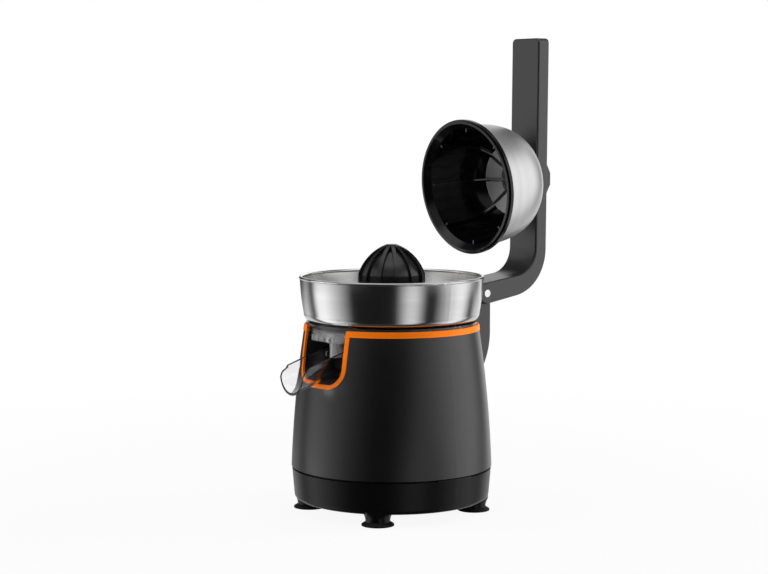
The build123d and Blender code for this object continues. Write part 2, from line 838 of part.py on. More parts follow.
def gear_outline(module, teeth, phase):
    """Face of a spur gear with a tooth centred on the phase angle."""
    pitch_r = module * teeth / 2
    base_r = pitch_r * math.cos(math.radians(pressure_angle))
    tip_r = pitch_r + addendum_share * module
    root_r = pitch_r - dedendum_share * module
    start_r = max(base_r, root_r)
    half_tooth = (math.pi * module / 2 - gear_backlash) / 2 / pitch_r
    middle_r = start_r + (tip_r - start_r) * flank_mid_share

    def half_angle(radius):
        return half_tooth + involute(base_r, pitch_r) - involute(base_r, radius)

    def place(radius, angle):
        return radius * math.cos(angle), radius * math.sin(angle)

    edges = []
    step = 2 * math.pi / teeth
    for index in range(teeth):
        centre = math.radians(phase) + index * step
        after = centre + step
        low, mid, high = half_angle(start_r), half_angle(middle_r), half_angle(tip_r)
        right = [place(start_r, centre - low), place(middle_r, centre - mid), place(tip_r, centre - high)]
        left = [place(tip_r, centre + high), place(middle_r, centre + mid), place(start_r, centre + low)]
        next_foot = place(start_r, after - low)
        root_here, root_next = place(root_r, centre + low), place(root_r, after - low)
        edges.append(ThreePointArc(*right))
        edges.append(ThreePointArc(right[2], place(tip_r, centre), left[0]))
        edges.append(ThreePointArc(*left))
        if root_r < base_r:
            edges.append(Line(left[2], root_here))
            edges.append(ThreePointArc(root_here, place(root_r, centre + step / 2), root_next))
            edges.append(Line(root_next, next_foot))
        else:
            edges.append(ThreePointArc(left[2], place(root_r, centre + step / 2), next_foot))
    return make_face(edges)


def gear(module, teeth, phase, bottom, thick, x=0, y=0):
    return Pos(x, y, bottom) * extrude(gear_outline(module, teeth, phase), thick)


def make_output_gear():
    mesh_phase = to_output + 180 + 180 / output_teeth
    body = gear(stage_two_module, output_teeth, mesh_phase, output_bottom_z, output_thick)
    rim_r = output_r - 3 * stage_two_module
    top = output_bottom_z + output_thick
    body = body - tube(rim_r, output_hub_r, top - output_web_cut, top + overrun)
    body = body - tube(rim_r, output_hub_r, output_bottom_z - overrun, output_bottom_z + output_web_cut)
    body = body + rod(output_hub_r, output_bottom_z - output_hub_rise, top + output_hub_rise)
    return body - hexagon(shaft_hex_flats + 2 * running_gap, shaft_bottom_z, shaft_drive_bottom_z)


nodes["output_gear"] = make_output_gear()


def make_compound_gear():
    wheel = gear(stage_one_module, wheel_teeth, to_motor, wheel_bottom_z, wheel_thick, compound_x, compound_y)
    pinion_top = output_bottom_z + output_thick
    pinion = gear(
        stage_two_module, compound_pinion_teeth, to_output, wheel_bottom_z, pinion_top - wheel_bottom_z,
        compound_x, compound_y)
    body = wheel + pinion
    return body - rod(compound_axle_r + running_gap, 0, gearbox_roof_z, compound_x, compound_y)


nodes["compound_gear"] = make_compound_gear()


def make_motor_pinion():
    mesh_phase = to_motor + 180 + 180 / pinion_teeth
    body = gear(stage_one_module, pinion_teeth, mesh_phase, pinion_bottom_z, pinion_length, 0, motor_y)
    return body - rod(motor_shaft_r, 0, gearbox_roof_z, 0, motor_y)


nodes["motor_pinion"] = make_motor_pinion()


# Gearbox in two halves round the gears
def case_outline(grow, circles):
    """Outline that runs round circles of radius, x and y."""
    edges = ShapeList()
    for radius, x, y in circles:
        edges = edges + (Pos(x, y) * Circle(radius + grow)).edges()
    return make_hull(edges)


lower_circles = (
    (output_hub_r, 0, 0),
    (wheel_r + stage_one_module + gear_room, compound_x, compound_y),
    (pinion_room_r, 0, motor_y),
)
upper_circles = (
    (output_r + stage_two_module + gear_room, 0, 0),
    (compound_pinion_r + stage_two_module + gear_room, compound_x, compound_y),
)


def slab(grow, circles, bottom, top):
    return Pos(0, 0, bottom) * extrude(case_outline(grow, circles), top - bottom)


def make_gearbox_base():
    full = slab(gearbox_wall, lower_circles, gearbox_floor_z, gearbox_split_z)
    full = full + slab(gearbox_wall, upper_circles, gearbox_floor_z, gearbox_split_z)
    inner = slab(0, lower_circles, gearbox_floor_z + gearbox_floor, gearbox_split_z + overrun)
    inner = inner + slab(0, upper_circles, gearbox_floor_z + gearbox_floor, gearbox_split_z + overrun)
    body = full - inner
    for angle in gearbox_foot_angles:
        x, y = on_circle(gearbox_foot_circle_r, angle)
        foot = rod(gearbox_foot_r, gearbox_floor_z, gearbox_floor_z + gearbox_foot_thick, x, y)
        reach = gearbox_foot_circle_r - output_r
        tie = block((-reach, -gearbox_foot_r, 0), (0, gearbox_foot_r, gearbox_foot_thick))
        tie = Pos(x, y, gearbox_floor_z) * (Rot(0, 0, angle) * tie)
        body = body + ((foot + tie) - inner)
        body = body - rod(gearbox_screw_r, 0, gearbox_roof_z, x, y)
    bush_r = shaft_r + bush_wall
    body = body + rod(bush_r + gearbox_wall, gearbox_floor_z, gearbox_floor_z + lower_bush_length)
    body = body - rod(bush_r, 0, gearbox_split_z)
    boss_r = compound_axle_r + gearbox_wall
    body = body + rod(boss_r, gearbox_floor_z, wheel_bottom_z - part_gap, compound_x, compound_y)
    body = body - rod(compound_axle_r, gearbox_floor_z - overrun, gearbox_split_z, compound_x, compound_y)
    return body - rod(motor_shaft_r + gear_room, 0, gearbox_split_z, 0, motor_y)


nodes["gearbox_base"] = make_gearbox_base()


def make_gearbox_cover():
    lid_top = gearbox_split_z + gearbox_wall
    lid = slab(gearbox_wall, lower_circles, gearbox_split_z, lid_top)
    lid = lid + slab(gearbox_wall, upper_circles, gearbox_split_z, gearbox_roof_z)
    lid = lid - slab(0, upper_circles, gearbox_split_z - overrun, gearbox_roof_z - gearbox_wall)
    boss_top = gearbox_roof_z + upper_bush_length - gearbox_wall
    lid = lid + rod(shaft_r + bush_wall + gearbox_wall, gearbox_roof_z - gearbox_wall, boss_top)
    lid = lid - rod(shaft_r + bush_wall, gearbox_split_z, boss_top + overrun)
    boss_bottom = output_bottom_z + output_thick + part_gap
    lid = lid + rod(compound_axle_r + gearbox_wall, boss_bottom, gearbox_roof_z, compound_x, compound_y)
    lid = lid - notch_shape(bay_wall + part_gap, bay_end_y + part_gap)
    return lid - rod(compound_axle_r, gearbox_split_z, axle_top_z, compound_x, compound_y)


nodes["gearbox_cover"] = make_gearbox_cover()

nodes["compound_axle"] = rod(compound_axle_r, gearbox_floor_z, axle_top_z, compound_x, compound_y)

nodes["lower_bush"] = tube(
    shaft_r + bush_wall, shaft_r + running_gap, gearbox_floor_z, gearbox_floor_z + lower_bush_length)


def make_upper_bush():
    bottom = gearbox_roof_z - gearbox_wall
    top = bottom + upper_bush_length
    sleeve = rod(shaft_r + bush_wall, bottom + bush_flange_thick, top)
    flange = rod(shaft_r + bush_wall + bush_flange, top, top + bush_flange_thick)
    hex_room = rod(shaft_hex_flats / math.sqrt(3) + part_gap, bottom, shaft_hex_top_z + part_gap)
    return sleeve + flange - rod(shaft_r + running_gap, bottom, top + overrun) - hex_room


nodes["upper_bush"] = make_upper_bush()


def make_gearbox_screw(angle):
    x, y = on_circle(gearbox_foot_circle_r, angle)
    seat = gearbox_floor_z + gearbox_foot_thick
    head_top = seat + gearbox_screw_head_height
    head = rod(gearbox_screw_head_r, seat, head_top, x, y)
    slot = rod(gearbox_screw_r / 2, head_top - gearbox_screw_head_height / 2, head_top, x, y)
    return head - slot + rod(gearbox_screw_r, gearbox_floor_z - gearbox_screw_length, seat, x, y)


nodes["gearbox_screws"] = group([make_gearbox_screw(angle) for angle in gearbox_foot_angles])


# Spring housing, return spring, thrust cup and microswitch
thrust_bottom_z = shaft_bottom_z - running_gap - thrust_cup_floor
thrust_top_z = thrust_bottom_z + thrust_cup_height
arm_bottom_z = thrust_bottom_z
spring_floor_z = spring_tube_bottom_z + spring_tube_floor
switch_face_y = tube_outer_r + switch_pad
plunger_y = switch_face_y + switch_depth / 2


def make_spring_tube():
    body = rod(tube_outer_r, spring_tube_bottom_z, gearbox_floor_z)
    pad_low = arm_bottom_z - plunger_rise - switch_height
    pad = block((-switch_width / 2, 0, pad_low), (switch_width / 2, switch_face_y, pad_low + switch_height))
    body = body + pad
    body = body - rod(spring_tube_bore_r, spring_floor_z, gearbox_floor_z + overrun)
    window = block(
        (-switch_arm_width / 2 - part_gap, 0, arm_bottom_z - press_travel - part_gap),
        (switch_arm_width / 2 + part_gap, switch_face_y + overrun, gearbox_floor_z + overrun))
    return body - window


nodes["spring_tube"] = make_spring_tube()


def make_thrust_cup():
    cup = rod(spring_tube_bore_r - slide_gap, thrust_bottom_z, thrust_top_z)
    cup = cup - rod(shaft_r + part_gap, thrust_bottom_z + thrust_cup_floor, thrust_top_z + overrun)
    arm = block(
        (-switch_arm_width / 2, shaft_r + 2 * part_gap, arm_bottom_z),
        (switch_arm_width / 2, switch_arm_reach, arm_bottom_z + switch_arm_thick))
    return cup + arm


nodes["thrust_cup"] = make_thrust_cup()


def make_spring():
    low = spring_floor_z + spring_end_gap + spring_wire_r
    high = thrust_bottom_z - spring_end_gap - spring_wire_r
    pitch = (high - low) / spring_turns
    path = Pos(0, 0, low) * Helix(pitch, high - low, spring_mean_r)
    start = path.edge() ^ 0
    wire = sweep(start * Circle(spring_wire_r), path, is_frenet=True)
    print("return spring gap between turns", round(pitch - 2 * spring_wire_r, 2))
    return wire


nodes["return_spring"] = make_spring()


def make_switch():
    top = arm_bottom_z - plunger_rise
    back = switch_face_y + switch_depth
    body = block((-switch_width / 2, switch_face_y, top - switch_height), (switch_width / 2, back, top))
    for x in (-switch_width / 4, switch_width / 4):
        body = body - rod_y(plunger_r, switch_face_y, back, x, top - switch_height / 2)
        tag = block(
            (x - plunger_r, switch_face_y + switch_depth / 3, top - switch_height - plunger_rise),
            (x + plunger_r, switch_face_y + switch_depth / 2, top - switch_height))
        body = body + tag
    hole_bottom = top - plunger_inside - press_travel
    return body - rod(plunger_r + running_gap, hole_bottom, top + overrun, 0, plunger_y)


nodes["micro_switch"] = make_switch()

nodes["switch_plunger"] = rod(
    plunger_r, arm_bottom_z - plunger_rise - plunger_inside + running_gap, arm_bottom_z, 0, plunger_y)


# Motor with can, stator, coils, bearings, rotor and fan
def make_motor_can():
    can = rod(motor_r, motor_bottom_z, gearbox_floor_z, 0, motor_y)
    can = can - rod(motor_r - motor_wall, 0, gearbox_floor_z - motor_plate, 0, motor_y)
    seat_top = gearbox_floor_z
    seat = rod(motor_bearing_r + motor_wall, seat_top - motor_bearing_height, seat_top, 0, motor_y)
    can = can + seat
    can = can - rod(motor_bearing_r, 0, seat_top - motor_plate / 2, 0, motor_y)
    return can - rod(motor_shaft_r + gear_room, 0, seat_top + overrun, 0, motor_y)


nodes["motor_can"] = make_motor_can()


def make_end_cap():
    bottom = motor_bottom_z - end_cap_thick
    cap = rod(motor_r, bottom, motor_bottom_z, 0, motor_y)
    cap = cap + rod(motor_bearing_r + motor_wall, bottom, bottom + motor_bearing_height, 0, motor_y)
    cap = cap - rod(motor_bearing_r, bottom + motor_wall, motor_bottom_z + motor_bearing_height, 0, motor_y)
    cap = cap - rod(motor_shaft_r + gear_room, 0, motor_bottom_z, 0, motor_y)
    for index in range(end_cap_vent_count):
        x, y = on_circle(motor_r - end_cap_vent_inset, 360 * (index + 1 / 2) / end_cap_vent_count)
        cap = cap - rod(end_cap_vent_r, 0, motor_bottom_z + overrun, x, motor_y + y)
    return cap


nodes["motor_end_cap"] = make_end_cap()


stator_top_z = stator_bottom_z + stator_height
nodes["motor_stator"] = tube(stator_outer_r, stator_inner_r, stator_bottom_z, stator_top_z, 0, motor_y)

coil_inner_r = stator_inner_r + coil_inset
coil_outer_r = stator_outer_r - coil_inset
nodes["motor_coils"] = group([
    tube(coil_outer_r, coil_inner_r, stator_bottom_z - coil_height, stator_bottom_z, 0, motor_y),
    tube(coil_outer_r, coil_inner_r, stator_top_z, stator_top_z + coil_height, 0, motor_y),
])

bearing_bore_r = motor_shaft_r + running_gap
bearing_length = motor_bearing_height / 2
lower_bearing_z = motor_bottom_z - end_cap_thick + motor_wall
upper_bearing_top = gearbox_floor_z - motor_plate / 2
nodes["motor_bearings"] = group([
    tube(motor_bearing_r, bearing_bore_r, lower_bearing_z, lower_bearing_z + bearing_length, 0, motor_y),
    tube(motor_bearing_r, bearing_bore_r, upper_bearing_top - bearing_length, upper_bearing_top, 0, motor_y),
])

fan_top_z = motor_bottom_z - end_cap_thick - fan_top_gap
nodes["rotor_shaft"] = rod(motor_shaft_r, fan_top_z - fan_height, pinion_bottom_z + pinion_length, 0, motor_y)

rotor_top_z = stator_top_z + rotor_overhang
nodes["rotor_core"] = tube(rotor_r, motor_shaft_r, stator_bottom_z - rotor_overhang, rotor_top_z, 0, motor_y)


def make_fan():
    bottom = fan_top_z - fan_height
    fan = rod(fan_r, fan_top_z - fan_disc_thick, fan_top_z) + rod(fan_hub_r, bottom, fan_top_z)
    blade = block((0, -fan_blade_thick / 2, bottom), (fan_r, fan_blade_thick / 2, fan_top_z))
    for index in range(fan_blade_count):
        fan = fan + Rot(0, 0, 360 * index / fan_blade_count) * blade
    fan = fan & rod(fan_r, bottom, fan_top_z)
    return Pos(0, motor_y, 0) * fan - rod(motor_shaft_r, 0, gearbox_floor_z, 0, motor_y)


nodes["cooling_fan"] = make_fan()


# Terminal block on the tray's floor
def make_terminals():
    floor = tray_bottom_z + tray_floor
    low = (-terminal_width / 2, terminal_y - terminal_depth / 2, floor)
    high = (terminal_width / 2, terminal_y + terminal_depth / 2, floor + terminal_height)
    body = block(low, high)
    pitch = terminal_width / terminal_way_count
    for index in range(terminal_way_count):
        x = (index + 1 / 2) * pitch - terminal_width / 2
        way_z = floor + terminal_height / 3
        body = body - rod_y(terminal_way_r, low[1] - overrun, high[1] + overrun, x, way_z)
        body = body - rod(terminal_way_r, way_z, high[2] + overrun, x, terminal_y)
    return body


nodes["terminal_block"] = make_terminals()


# Spout: a U-shaped trough, drawn level about its pivot and then sloped
def trough_shape(inset, back, front, top):
    """Solid U-shaped bar along -Y with its keel below the pivot."""
    half = spout_half_width - inset
    keel = -spout_keel_drop + inset
    face = make_face([
        Line((-half, top), (-half, keel + half)),
        ThreePointArc((-half, keel + half), (0, keel), (half, keel + half)),
        Line((half, keel + half), (half, top)),
        Line((half, top), (-half, top)),
    ])
    return Pos(0, back, 0) * (Rot(90, 0, 0) * extrude(face, back - front))


def make_spout():
    reach = spout_pivot_y - spout_mouth_y
    slope = math.radians(spout_slope)
    long_reach = -2 * reach
    top = spout_depth - spout_keel_drop
    body = trough_shape(0, spout_back, long_reach, top)
    body = body - trough_shape(spout_wall, spout_back - spout_wall, 2 * long_reach, top + overrun)
    body = Rot(spout_slope, 0, 0) * body
    mouth = Plane.YZ * make_face(outline(
        (-reach, 2 * long_reach), (-reach, -long_reach),
        (2 * long_reach, -long_reach), (2 * long_reach, 2 * long_reach)))
    body = body - extrude(mouth, 2 * spout_half_width, both=True)
    rim_z = top / math.cos(slope) - reach * math.tan(slope)
    corner = Plane.YZ * (
        Pos(-reach, rim_z) * (Rectangle(2 * spout_mouth_round, 2 * spout_mouth_round + 2 * overrun))
        - Pos(-reach + spout_mouth_round, rim_z - spout_mouth_round) * Circle(spout_mouth_round)
        - Pos(-reach, rim_z - spout_mouth_round) * Rectangle(
            3 * spout_mouth_round, 2 * spout_mouth_round, align=(Align.CENTER, Align.MAX))
    )
    body = body - extrude(corner, 2 * spout_half_width, both=True)
    trunnion_end = notch_half_width + bay_wall - trunnion_end_gap
    for side in (-1, 1):
        start, end = sorted((side * (spout_half_width - spout_wall / 2), side * trunnion_end))
        body = body + rod_x(trunnion_r, start, end, 0, 0)
    return Pos(0, spout_pivot_y, spout_pivot_z) * body


nodes["spout"] = make_spout()


# Hinge bracket on the back of the housing
def make_bracket():
    bottom_z = housing_foot_z
    sweep_end = (tongue_back_y - tongue_sweep_r, tongue_straight_z - tongue_sweep_r)
    face = make_face([
        Line((pin_y - tongue_r, pin_z), (pin_y - tongue_r, trim_top_z)),
        Line((pin_y - tongue_r, trim_top_z), (0, bottom_z)),
        Line((0, bottom_z), sweep_end),
        RadiusArc(sweep_end, (tongue_back_y, tongue_straight_z), -tongue_sweep_r),
        Line((tongue_back_y, tongue_straight_z), (tongue_back_y, pin_z)),
        ThreePointArc((tongue_back_y, pin_z), (pin_y, pin_z + tongue_r), (pin_y - tongue_r, pin_z)),
    ])
    body = extrude(Plane.YZ * face, tongue_half_width, both=True)
    body = body - side_shape(0) - side_shape(trim_proud + part_gap).intersect(
        rod(housing_foot_r, housing_top_z - part_gap, trim_top_z + overrun))
    body = body - rod(bowl_rim_r, trim_top_z - overrun, bowl_rim_z)
    body = body.solids().sort_by(SortBy.VOLUME)[-1]
    body = body - rod_x(pin_r + running_gap + hinge_bush_wall, -arm_half_width, arm_half_width, pin_y, pin_z)
    for z in bracket_screw_heights:
        body = body - rod_y(bracket_screw_r, 0, bracket_seat_y(z) + bracket_screw_length, 0, z)
    return body


nodes["hinge_bracket"] = make_bracket()


def make_bracket_screw(z):
    seat = bracket_seat_y(z)
    head = rod_y(bracket_screw_head_r, seat - bracket_screw_head_height, seat, 0, z)
    slot_end = seat - bracket_screw_head_height / 2
    slot = rod_y(bracket_screw_r / 2, seat - bracket_screw_head_height, slot_end, 0, z)
    return head - slot + rod_y(bracket_screw_r, seat, seat + bracket_screw_length, 0, z)


nodes["bracket_screws"] = group([make_bracket_screw(z) for z in bracket_screw_heights])


def make_hinge_bush(side):
    bore = pin_r + running_gap
    outer = bore + hinge_bush_wall
    start, end = sorted((side * part_gap, side * tongue_half_width))
    lip_start, lip_end = sorted((side * tongue_half_width, side * (tongue_half_width + hinge_bush_thick)))
    bush = rod_x(outer, start, end, pin_y, pin_z)
    bush = bush + rod_x(outer + hinge_bush_flange, lip_start, lip_end, pin_y, pin_z)
    return bush - rod_x(bore, -arm_half_width, arm_half_width, pin_y, pin_z)


nodes["hinge_bushes"] = group([make_hinge_bush(side) for side in (-1, 1)])

nodes["hinge_pin"] = rod_x(pin_r, -arm_half_width - pin_proud, arm_half_width + pin_proud, pin_y, pin_z)


# Lever arm: an L-shaped bar forked round the bracket
def face_y(z):
    """Front face of the leaning arm at a height."""
    return arm_face_y + (z - pin_z) * math.tan(math.radians(arm_lean))


def back_y(z):
    return face_y(z) + arm_thick / math.cos(math.radians(arm_lean))


def corner_of(slope, offset, arm_line):
    """Where a leg line, sloped and offset from the pin, meets the arm's front or back."""
    rise = math.tan(math.radians(slope))
    start = pin_z + offset / math.cos(math.radians(slope))
    lean = math.tan(math.radians(arm_lean))
    y = (arm_line(pin_z) + lean * (start - rise * pin_y - pin_z)) / (1 - lean * rise)
    return y, start + rise * (y - pin_y)


def arm_outline():
    upper, lower = math.radians(leg_upper_slope), math.radians(leg_lower_slope)
    inner = corner_of(leg_upper_slope, arm_end_r, face_y)
    outer = corner_of(leg_lower_slope, -arm_end_r, back_y)
    top_end = (pin_y - arm_end_r * math.sin(upper), pin_z + arm_end_r * math.cos(upper))
    low_end = (pin_y + arm_end_r * math.sin(lower), pin_z - arm_end_r * math.cos(lower))
    face = make_face([
        Line(top_end, inner),
        Line(inner, (face_y(arm_top_z), arm_top_z)),
        Line((face_y(arm_top_z), arm_top_z), (back_y(arm_top_z), arm_top_z)),
        Line((back_y(arm_top_z), arm_top_z), outer),
        Line(outer, low_end),
        ThreePointArc(low_end, (pin_y - arm_end_r, pin_z), top_end),
    ])
    near = face.vertices().sort_by_distance(inner)[0]
    face = fillet(near, arm_inner_bend_r)
    far = face.vertices().sort_by_distance(outer)[0]
    return fillet(far, arm_outer_bend_r)


def arm_slab(start, end, low, high, half_width):
    """Leaning slab of the arm between two depths behind its front face."""
    face = make_face(outline(
        (face_y(low) + start, low), (face_y(low) + end, low),
        (face_y(high) + end, high), (face_y(high) + start, high)))
    return extrude(Plane.YZ * face, half_width, both=True)


def fork_slot():
    radius = tongue_r + part_gap
    slot = rod_x(radius, -cheek_inner_x, cheek_inner_x, pin_y, pin_z)
    slot = slot + block((-cheek_inner_x, 0, 0), (cheek_inner_x, pin_y, arm_top_z))
    return slot + block((-cheek_inner_x, 0, 0), (cheek_inner_x, pin_y + radius, pin_z))


channel_top_z = arm_top_z - channel_top_gap
cup_axis = raised(Line((0, 0, cup_shell_top_z), (0, 0, cup_shell_top_z + 2 * arm_thick)))
stud_place = cup_axis @ 0
pad_z = stud_place.Z


def stud_hole(radius):
    return raised(rod(radius, cup_rim_z, cup_shell_top_z + 2 * arm_thick + pad_proud))


def make_arm():
    body = extrude(Plane.YZ * arm_outline(), arm_half_width, both=True)
    top_edges = body.edges().filter_by(Axis.Y, tolerance=1).group_by(Axis.Z)[-1]
    body = fillet(top_edges, arm_top_corner_r)
    side_faces = body.faces().filter_by(Axis.X)
    rim_edges = ShapeList(edge for face in side_faces for edge in face.edges())
    body = fillet(rim_edges, arm_edge_r)
    body = body - fork_slot()
    depth = arm_thick + overrun
    body = body - arm_slab(channel_floor, depth, channel_bottom_z, channel_top_z, channel_half_width)
    body = body - rod_x(pin_r, -arm_half_width - overrun, arm_half_width + overrun, pin_y, pin_z)
    return body - stud_hole(stud_r)


nodes["lever_arm"] = make_arm()


def make_core():
    depth = channel_floor + core_thick
    bar = arm_slab(channel_floor, depth, channel_bottom_z, channel_top_z, core_half_width)
    for z in lever_screw_heights():
        bar = bar - rod_y(lever_screw_r, arm_face_y, back_y(arm_top_z) + overrun, 0, z)
    return bar - stud_hole(stud_r)


def lever_screw_heights():
    return channel_bottom_z + lever_screw_end, channel_top_z - lever_screw_end


nodes["lever_core"] = make_core()


def pad_block():
    """Raised pad on the back of the arm over the stud's nut."""
    low, high = pad_z - pad_height / 2, pad_z + pad_height / 2
    peak_y = back_y(pad_z) + pad_proud
    seat_low, seat_high = back_y(low) + cover_side_gap, back_y(high) + cover_side_gap
    face = make_face(outline(
        (seat_low, low), (seat_low + pad_edge, low), (peak_y, low + pad_slope_run),
        (peak_y, high - pad_slope_run), (seat_high + pad_edge, high), (seat_high, high)))
    pad = extrude(Plane.YZ * face, arm_half_width - arm_edge_r - pad_side_step, both=True)
    root_start, root_end = arm_thick - cover_thick / 2, arm_thick + pad_proud / 2
    root = arm_slab(root_start, root_end, low + pad_slope_run, high - pad_slope_run, core_half_width)
    return pad + root


def make_cover():
    depth = arm_thick - cover_thick
    half = channel_half_width - cover_side_gap
    low, high = channel_bottom_z + cover_side_gap, channel_top_z - cover_side_gap
    cover = arm_slab(depth, arm_thick, low, high, half)
    cover = cover + pad_block()
    core_end = channel_floor + core_thick
    core_room = arm_slab(channel_floor, core_end, channel_bottom_z, channel_top_z, channel_half_width)
    for z in lever_screw_heights():
        seat = face_y(z) + core_end
        boss = rod_y(lever_screw_head_r + cover_thick, seat, back_y(z) - cover_thick / 2, 0, z)
        cover = cover + (boss - core_room) - rod_y(lever_screw_r, arm_face_y, back_y(z) + overrun, 0, z)
        head_y = back_y(z) - lever_screw_head_height
        cover = cover - rod_y(lever_screw_head_r, head_y, back_y(z) + overrun, 0, z)
    return cover - stud_hole(nut_r + part_gap)


def make_lever_screw(z):
    head_y = back_y(z) - lever_screw_head_height
    head = rod_y(lever_screw_head_r, head_y, back_y(z) - part_gap, 0, z)
    slot = rod_y(lever_screw_r / 2, head_y + lever_screw_head_height / 3, back_y(z), 0, z)
    return head - slot + rod_y(lever_screw_r, face_y(z) + channel_floor + part_gap, head_y, 0, z)


nodes["lever_screws"] = group([make_lever_screw(z) for z in lever_screw_heights()])


# Press cup: steel shell over a black liner, held by a stud through the arm
def dome_shape(inset):
    """Solid dome of the cup, drawn in from the steel outside by a distance."""
    radius, depth = cup_r - inset, cup_depth - inset
    points = [
        (radius * r_share, cup_rim_z + depth * z_share)
        for r_share, z_share in zip(dome_radius_shares, dome_height_shares)
    ]
    top = (cup_flat_r, cup_rim_z + depth)
    return turned(
        Line((0, cup_rim_z), points[0]),
        Spline(*points, top, tangents=((0, 1), (-1, 0))),
        Line(top, (0, cup_rim_z + depth)),
        Line((0, cup_rim_z + depth), (0, cup_rim_z)),
    )


def make_cup_shell():
    shell = dome_shape(0) - dome_shape(cup_shell_wall)
    shell = shell - rod(cup_rim_r, 0, cup_rim_z + cup_rim_height)
    return raised(shell - rod(stud_r, 0, cup_shell_top_z + overrun))


nodes["cup_shell"] = make_cup_shell()


def cup_lining():
    """Rim and liner in one, before they are parted at the end of the mouth."""
    step_z = cup_rim_z + cup_lip_step_height
    rim = turned(outline(
        (0, cup_rim_z), (cup_rim_r - cup_lip_step, cup_rim_z), (cup_rim_r - cup_lip_step, step_z),
        (cup_rim_r, step_z), (cup_rim_r, cup_rim_z + cup_rim_height), (0, cup_rim_z + cup_rim_height)))
    liner = dome_shape(cup_shell_wall) + rim - dome_shape(insert_inset)
    funnel = Cone(cup_mouth_r, cup_r - insert_inset - part_gap, cup_mouth_depth, align=up)
    liner = liner - Pos(0, 0, cup_rim_z) * funnel
    return liner - rod(stud_r, 0, cup_shell_top_z + overrun)


mouth_room = rod(cup_rim_r + overrun, cup_rim_z - overrun, cup_rim_z + cup_mouth_depth)
nodes["cup_rim"] = raised(cup_lining() & mouth_room)
nodes["cup_liner"] = raised(cup_lining() - mouth_room)


# Insert in the liner: a hub with a ring of petals, and fins that run out to the mouth and hold the fruit
def make_insert():
    inside = dome_shape(insert_inset + insert_wall)
    insert = (dome_shape(insert_inset) - inside) & rod(petal_outer_r, cup_rim_z, cup_shell_top_z)
    fin_half = fin_thick / 2
    fin_end_z = cup_rim_z + cup_mouth_depth + part_gap
    fin = block((petal_inner_r, -fin_half, fin_end_z), (cup_r, fin_half, cup_shell_top_z))
    fin_room = dome_shape(insert_inset) - dome_shape(insert_inset + fin_height)
    petal_z = insert_roof_z - petal_height
    petal = turned(outline(
        (petal_inner_r, petal_z), (petal_outer_r, petal_z - petal_slope_drop),
        (petal_outer_r, cup_shell_top_z), (petal_inner_r, cup_shell_top_z)))
    petal = petal & dome_shape(insert_inset + insert_wall / 2)
    gap = block((0, -petal_gap / 2, 0), (petal_outer_r + overrun, petal_gap / 2, cup_shell_top_z))
    for index in range(fin_count):
        turn = Rot(0, 0, 360 * index / fin_count)
        petal = petal - turn * gap
        insert = insert + (turn * fin & fin_room)
    insert = insert + petal
    return raised(insert - rod(stud_r, 0, cup_shell_top_z + overrun))


nodes["cup_insert"] = make_insert()


# Stud with its head inside the cup, its spacer against the arm and its nut under the pad
def arm_front_shape():
    """Everything behind the arm's front face."""
    return arm_slab(0, 2 * arm_top_z, housing_top_z, arm_top_z, arm_half_width)


def make_stud():
    head = rod(stud_head_r, insert_roof_z - stud_head_height, insert_roof_z)
    shank = rod(stud_r, insert_roof_z, cup_shell_top_z + arm_thick)
    return raised(head + shank)


nodes["cup_stud"] = make_stud()


def make_spacer():
    sleeve = tube(stud_spacer_r, stud_r, cup_shell_top_z, cup_shell_top_z + arm_thick)
    return raised(sleeve) - arm_front_shape()


nodes["cup_spacer"] = make_spacer()


def make_nut():
    flats = nut_r * math.sqrt(3)
    bar = raised(hexagon(flats, cup_shell_top_z, cup_shell_top_z + 2 * arm_thick))
    reach = channel_floor + core_thick
    slice_room = arm_slab(reach, reach + nut_height, channel_bottom_z, channel_top_z, channel_half_width)
    return (bar & slice_room) - stud_hole(stud_r)


nodes["stud_nut"] = make_nut()
nodes["lever_cover"] = make_cover()

for name, shape in nodes.items():
    shape.label = name
    export_step(shape, f"parts/{name}.step")
    print(name, "solids", len(shape.solids()), "volume", round(shape.volume, 1))
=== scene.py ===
# %% [markdown]
# # An electric citrus juicer, dressed for its portrait
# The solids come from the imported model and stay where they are. This lesson gives each of them its
# finish, adds the small forms that only the eye needs, and sets up a studio with the camera of the
# photograph. Loading the frame first means that every later piece can be placed by the solids it
# belongs to.

# %% Load the solids
import json
import math

import bpy
from mathutils import Matrix, Vector


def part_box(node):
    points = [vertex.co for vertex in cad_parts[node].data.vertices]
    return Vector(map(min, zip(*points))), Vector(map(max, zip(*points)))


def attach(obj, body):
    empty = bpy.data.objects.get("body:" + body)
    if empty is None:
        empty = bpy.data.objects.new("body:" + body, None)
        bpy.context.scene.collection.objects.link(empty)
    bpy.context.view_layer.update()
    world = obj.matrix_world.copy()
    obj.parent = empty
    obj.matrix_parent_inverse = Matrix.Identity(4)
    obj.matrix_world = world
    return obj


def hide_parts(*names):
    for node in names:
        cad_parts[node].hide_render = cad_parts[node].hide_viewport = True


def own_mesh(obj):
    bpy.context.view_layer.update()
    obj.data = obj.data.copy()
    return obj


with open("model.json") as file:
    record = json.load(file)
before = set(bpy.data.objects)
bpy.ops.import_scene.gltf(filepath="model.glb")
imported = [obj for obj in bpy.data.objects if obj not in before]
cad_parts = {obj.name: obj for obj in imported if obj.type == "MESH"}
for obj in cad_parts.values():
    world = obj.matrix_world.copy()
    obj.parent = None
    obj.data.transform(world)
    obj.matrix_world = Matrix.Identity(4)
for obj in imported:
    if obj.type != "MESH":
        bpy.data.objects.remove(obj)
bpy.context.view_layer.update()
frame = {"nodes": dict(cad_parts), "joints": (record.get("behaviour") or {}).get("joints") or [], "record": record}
solids = frame["nodes"]
joints = {joint["name"]: joint for joint in frame["joints"]}

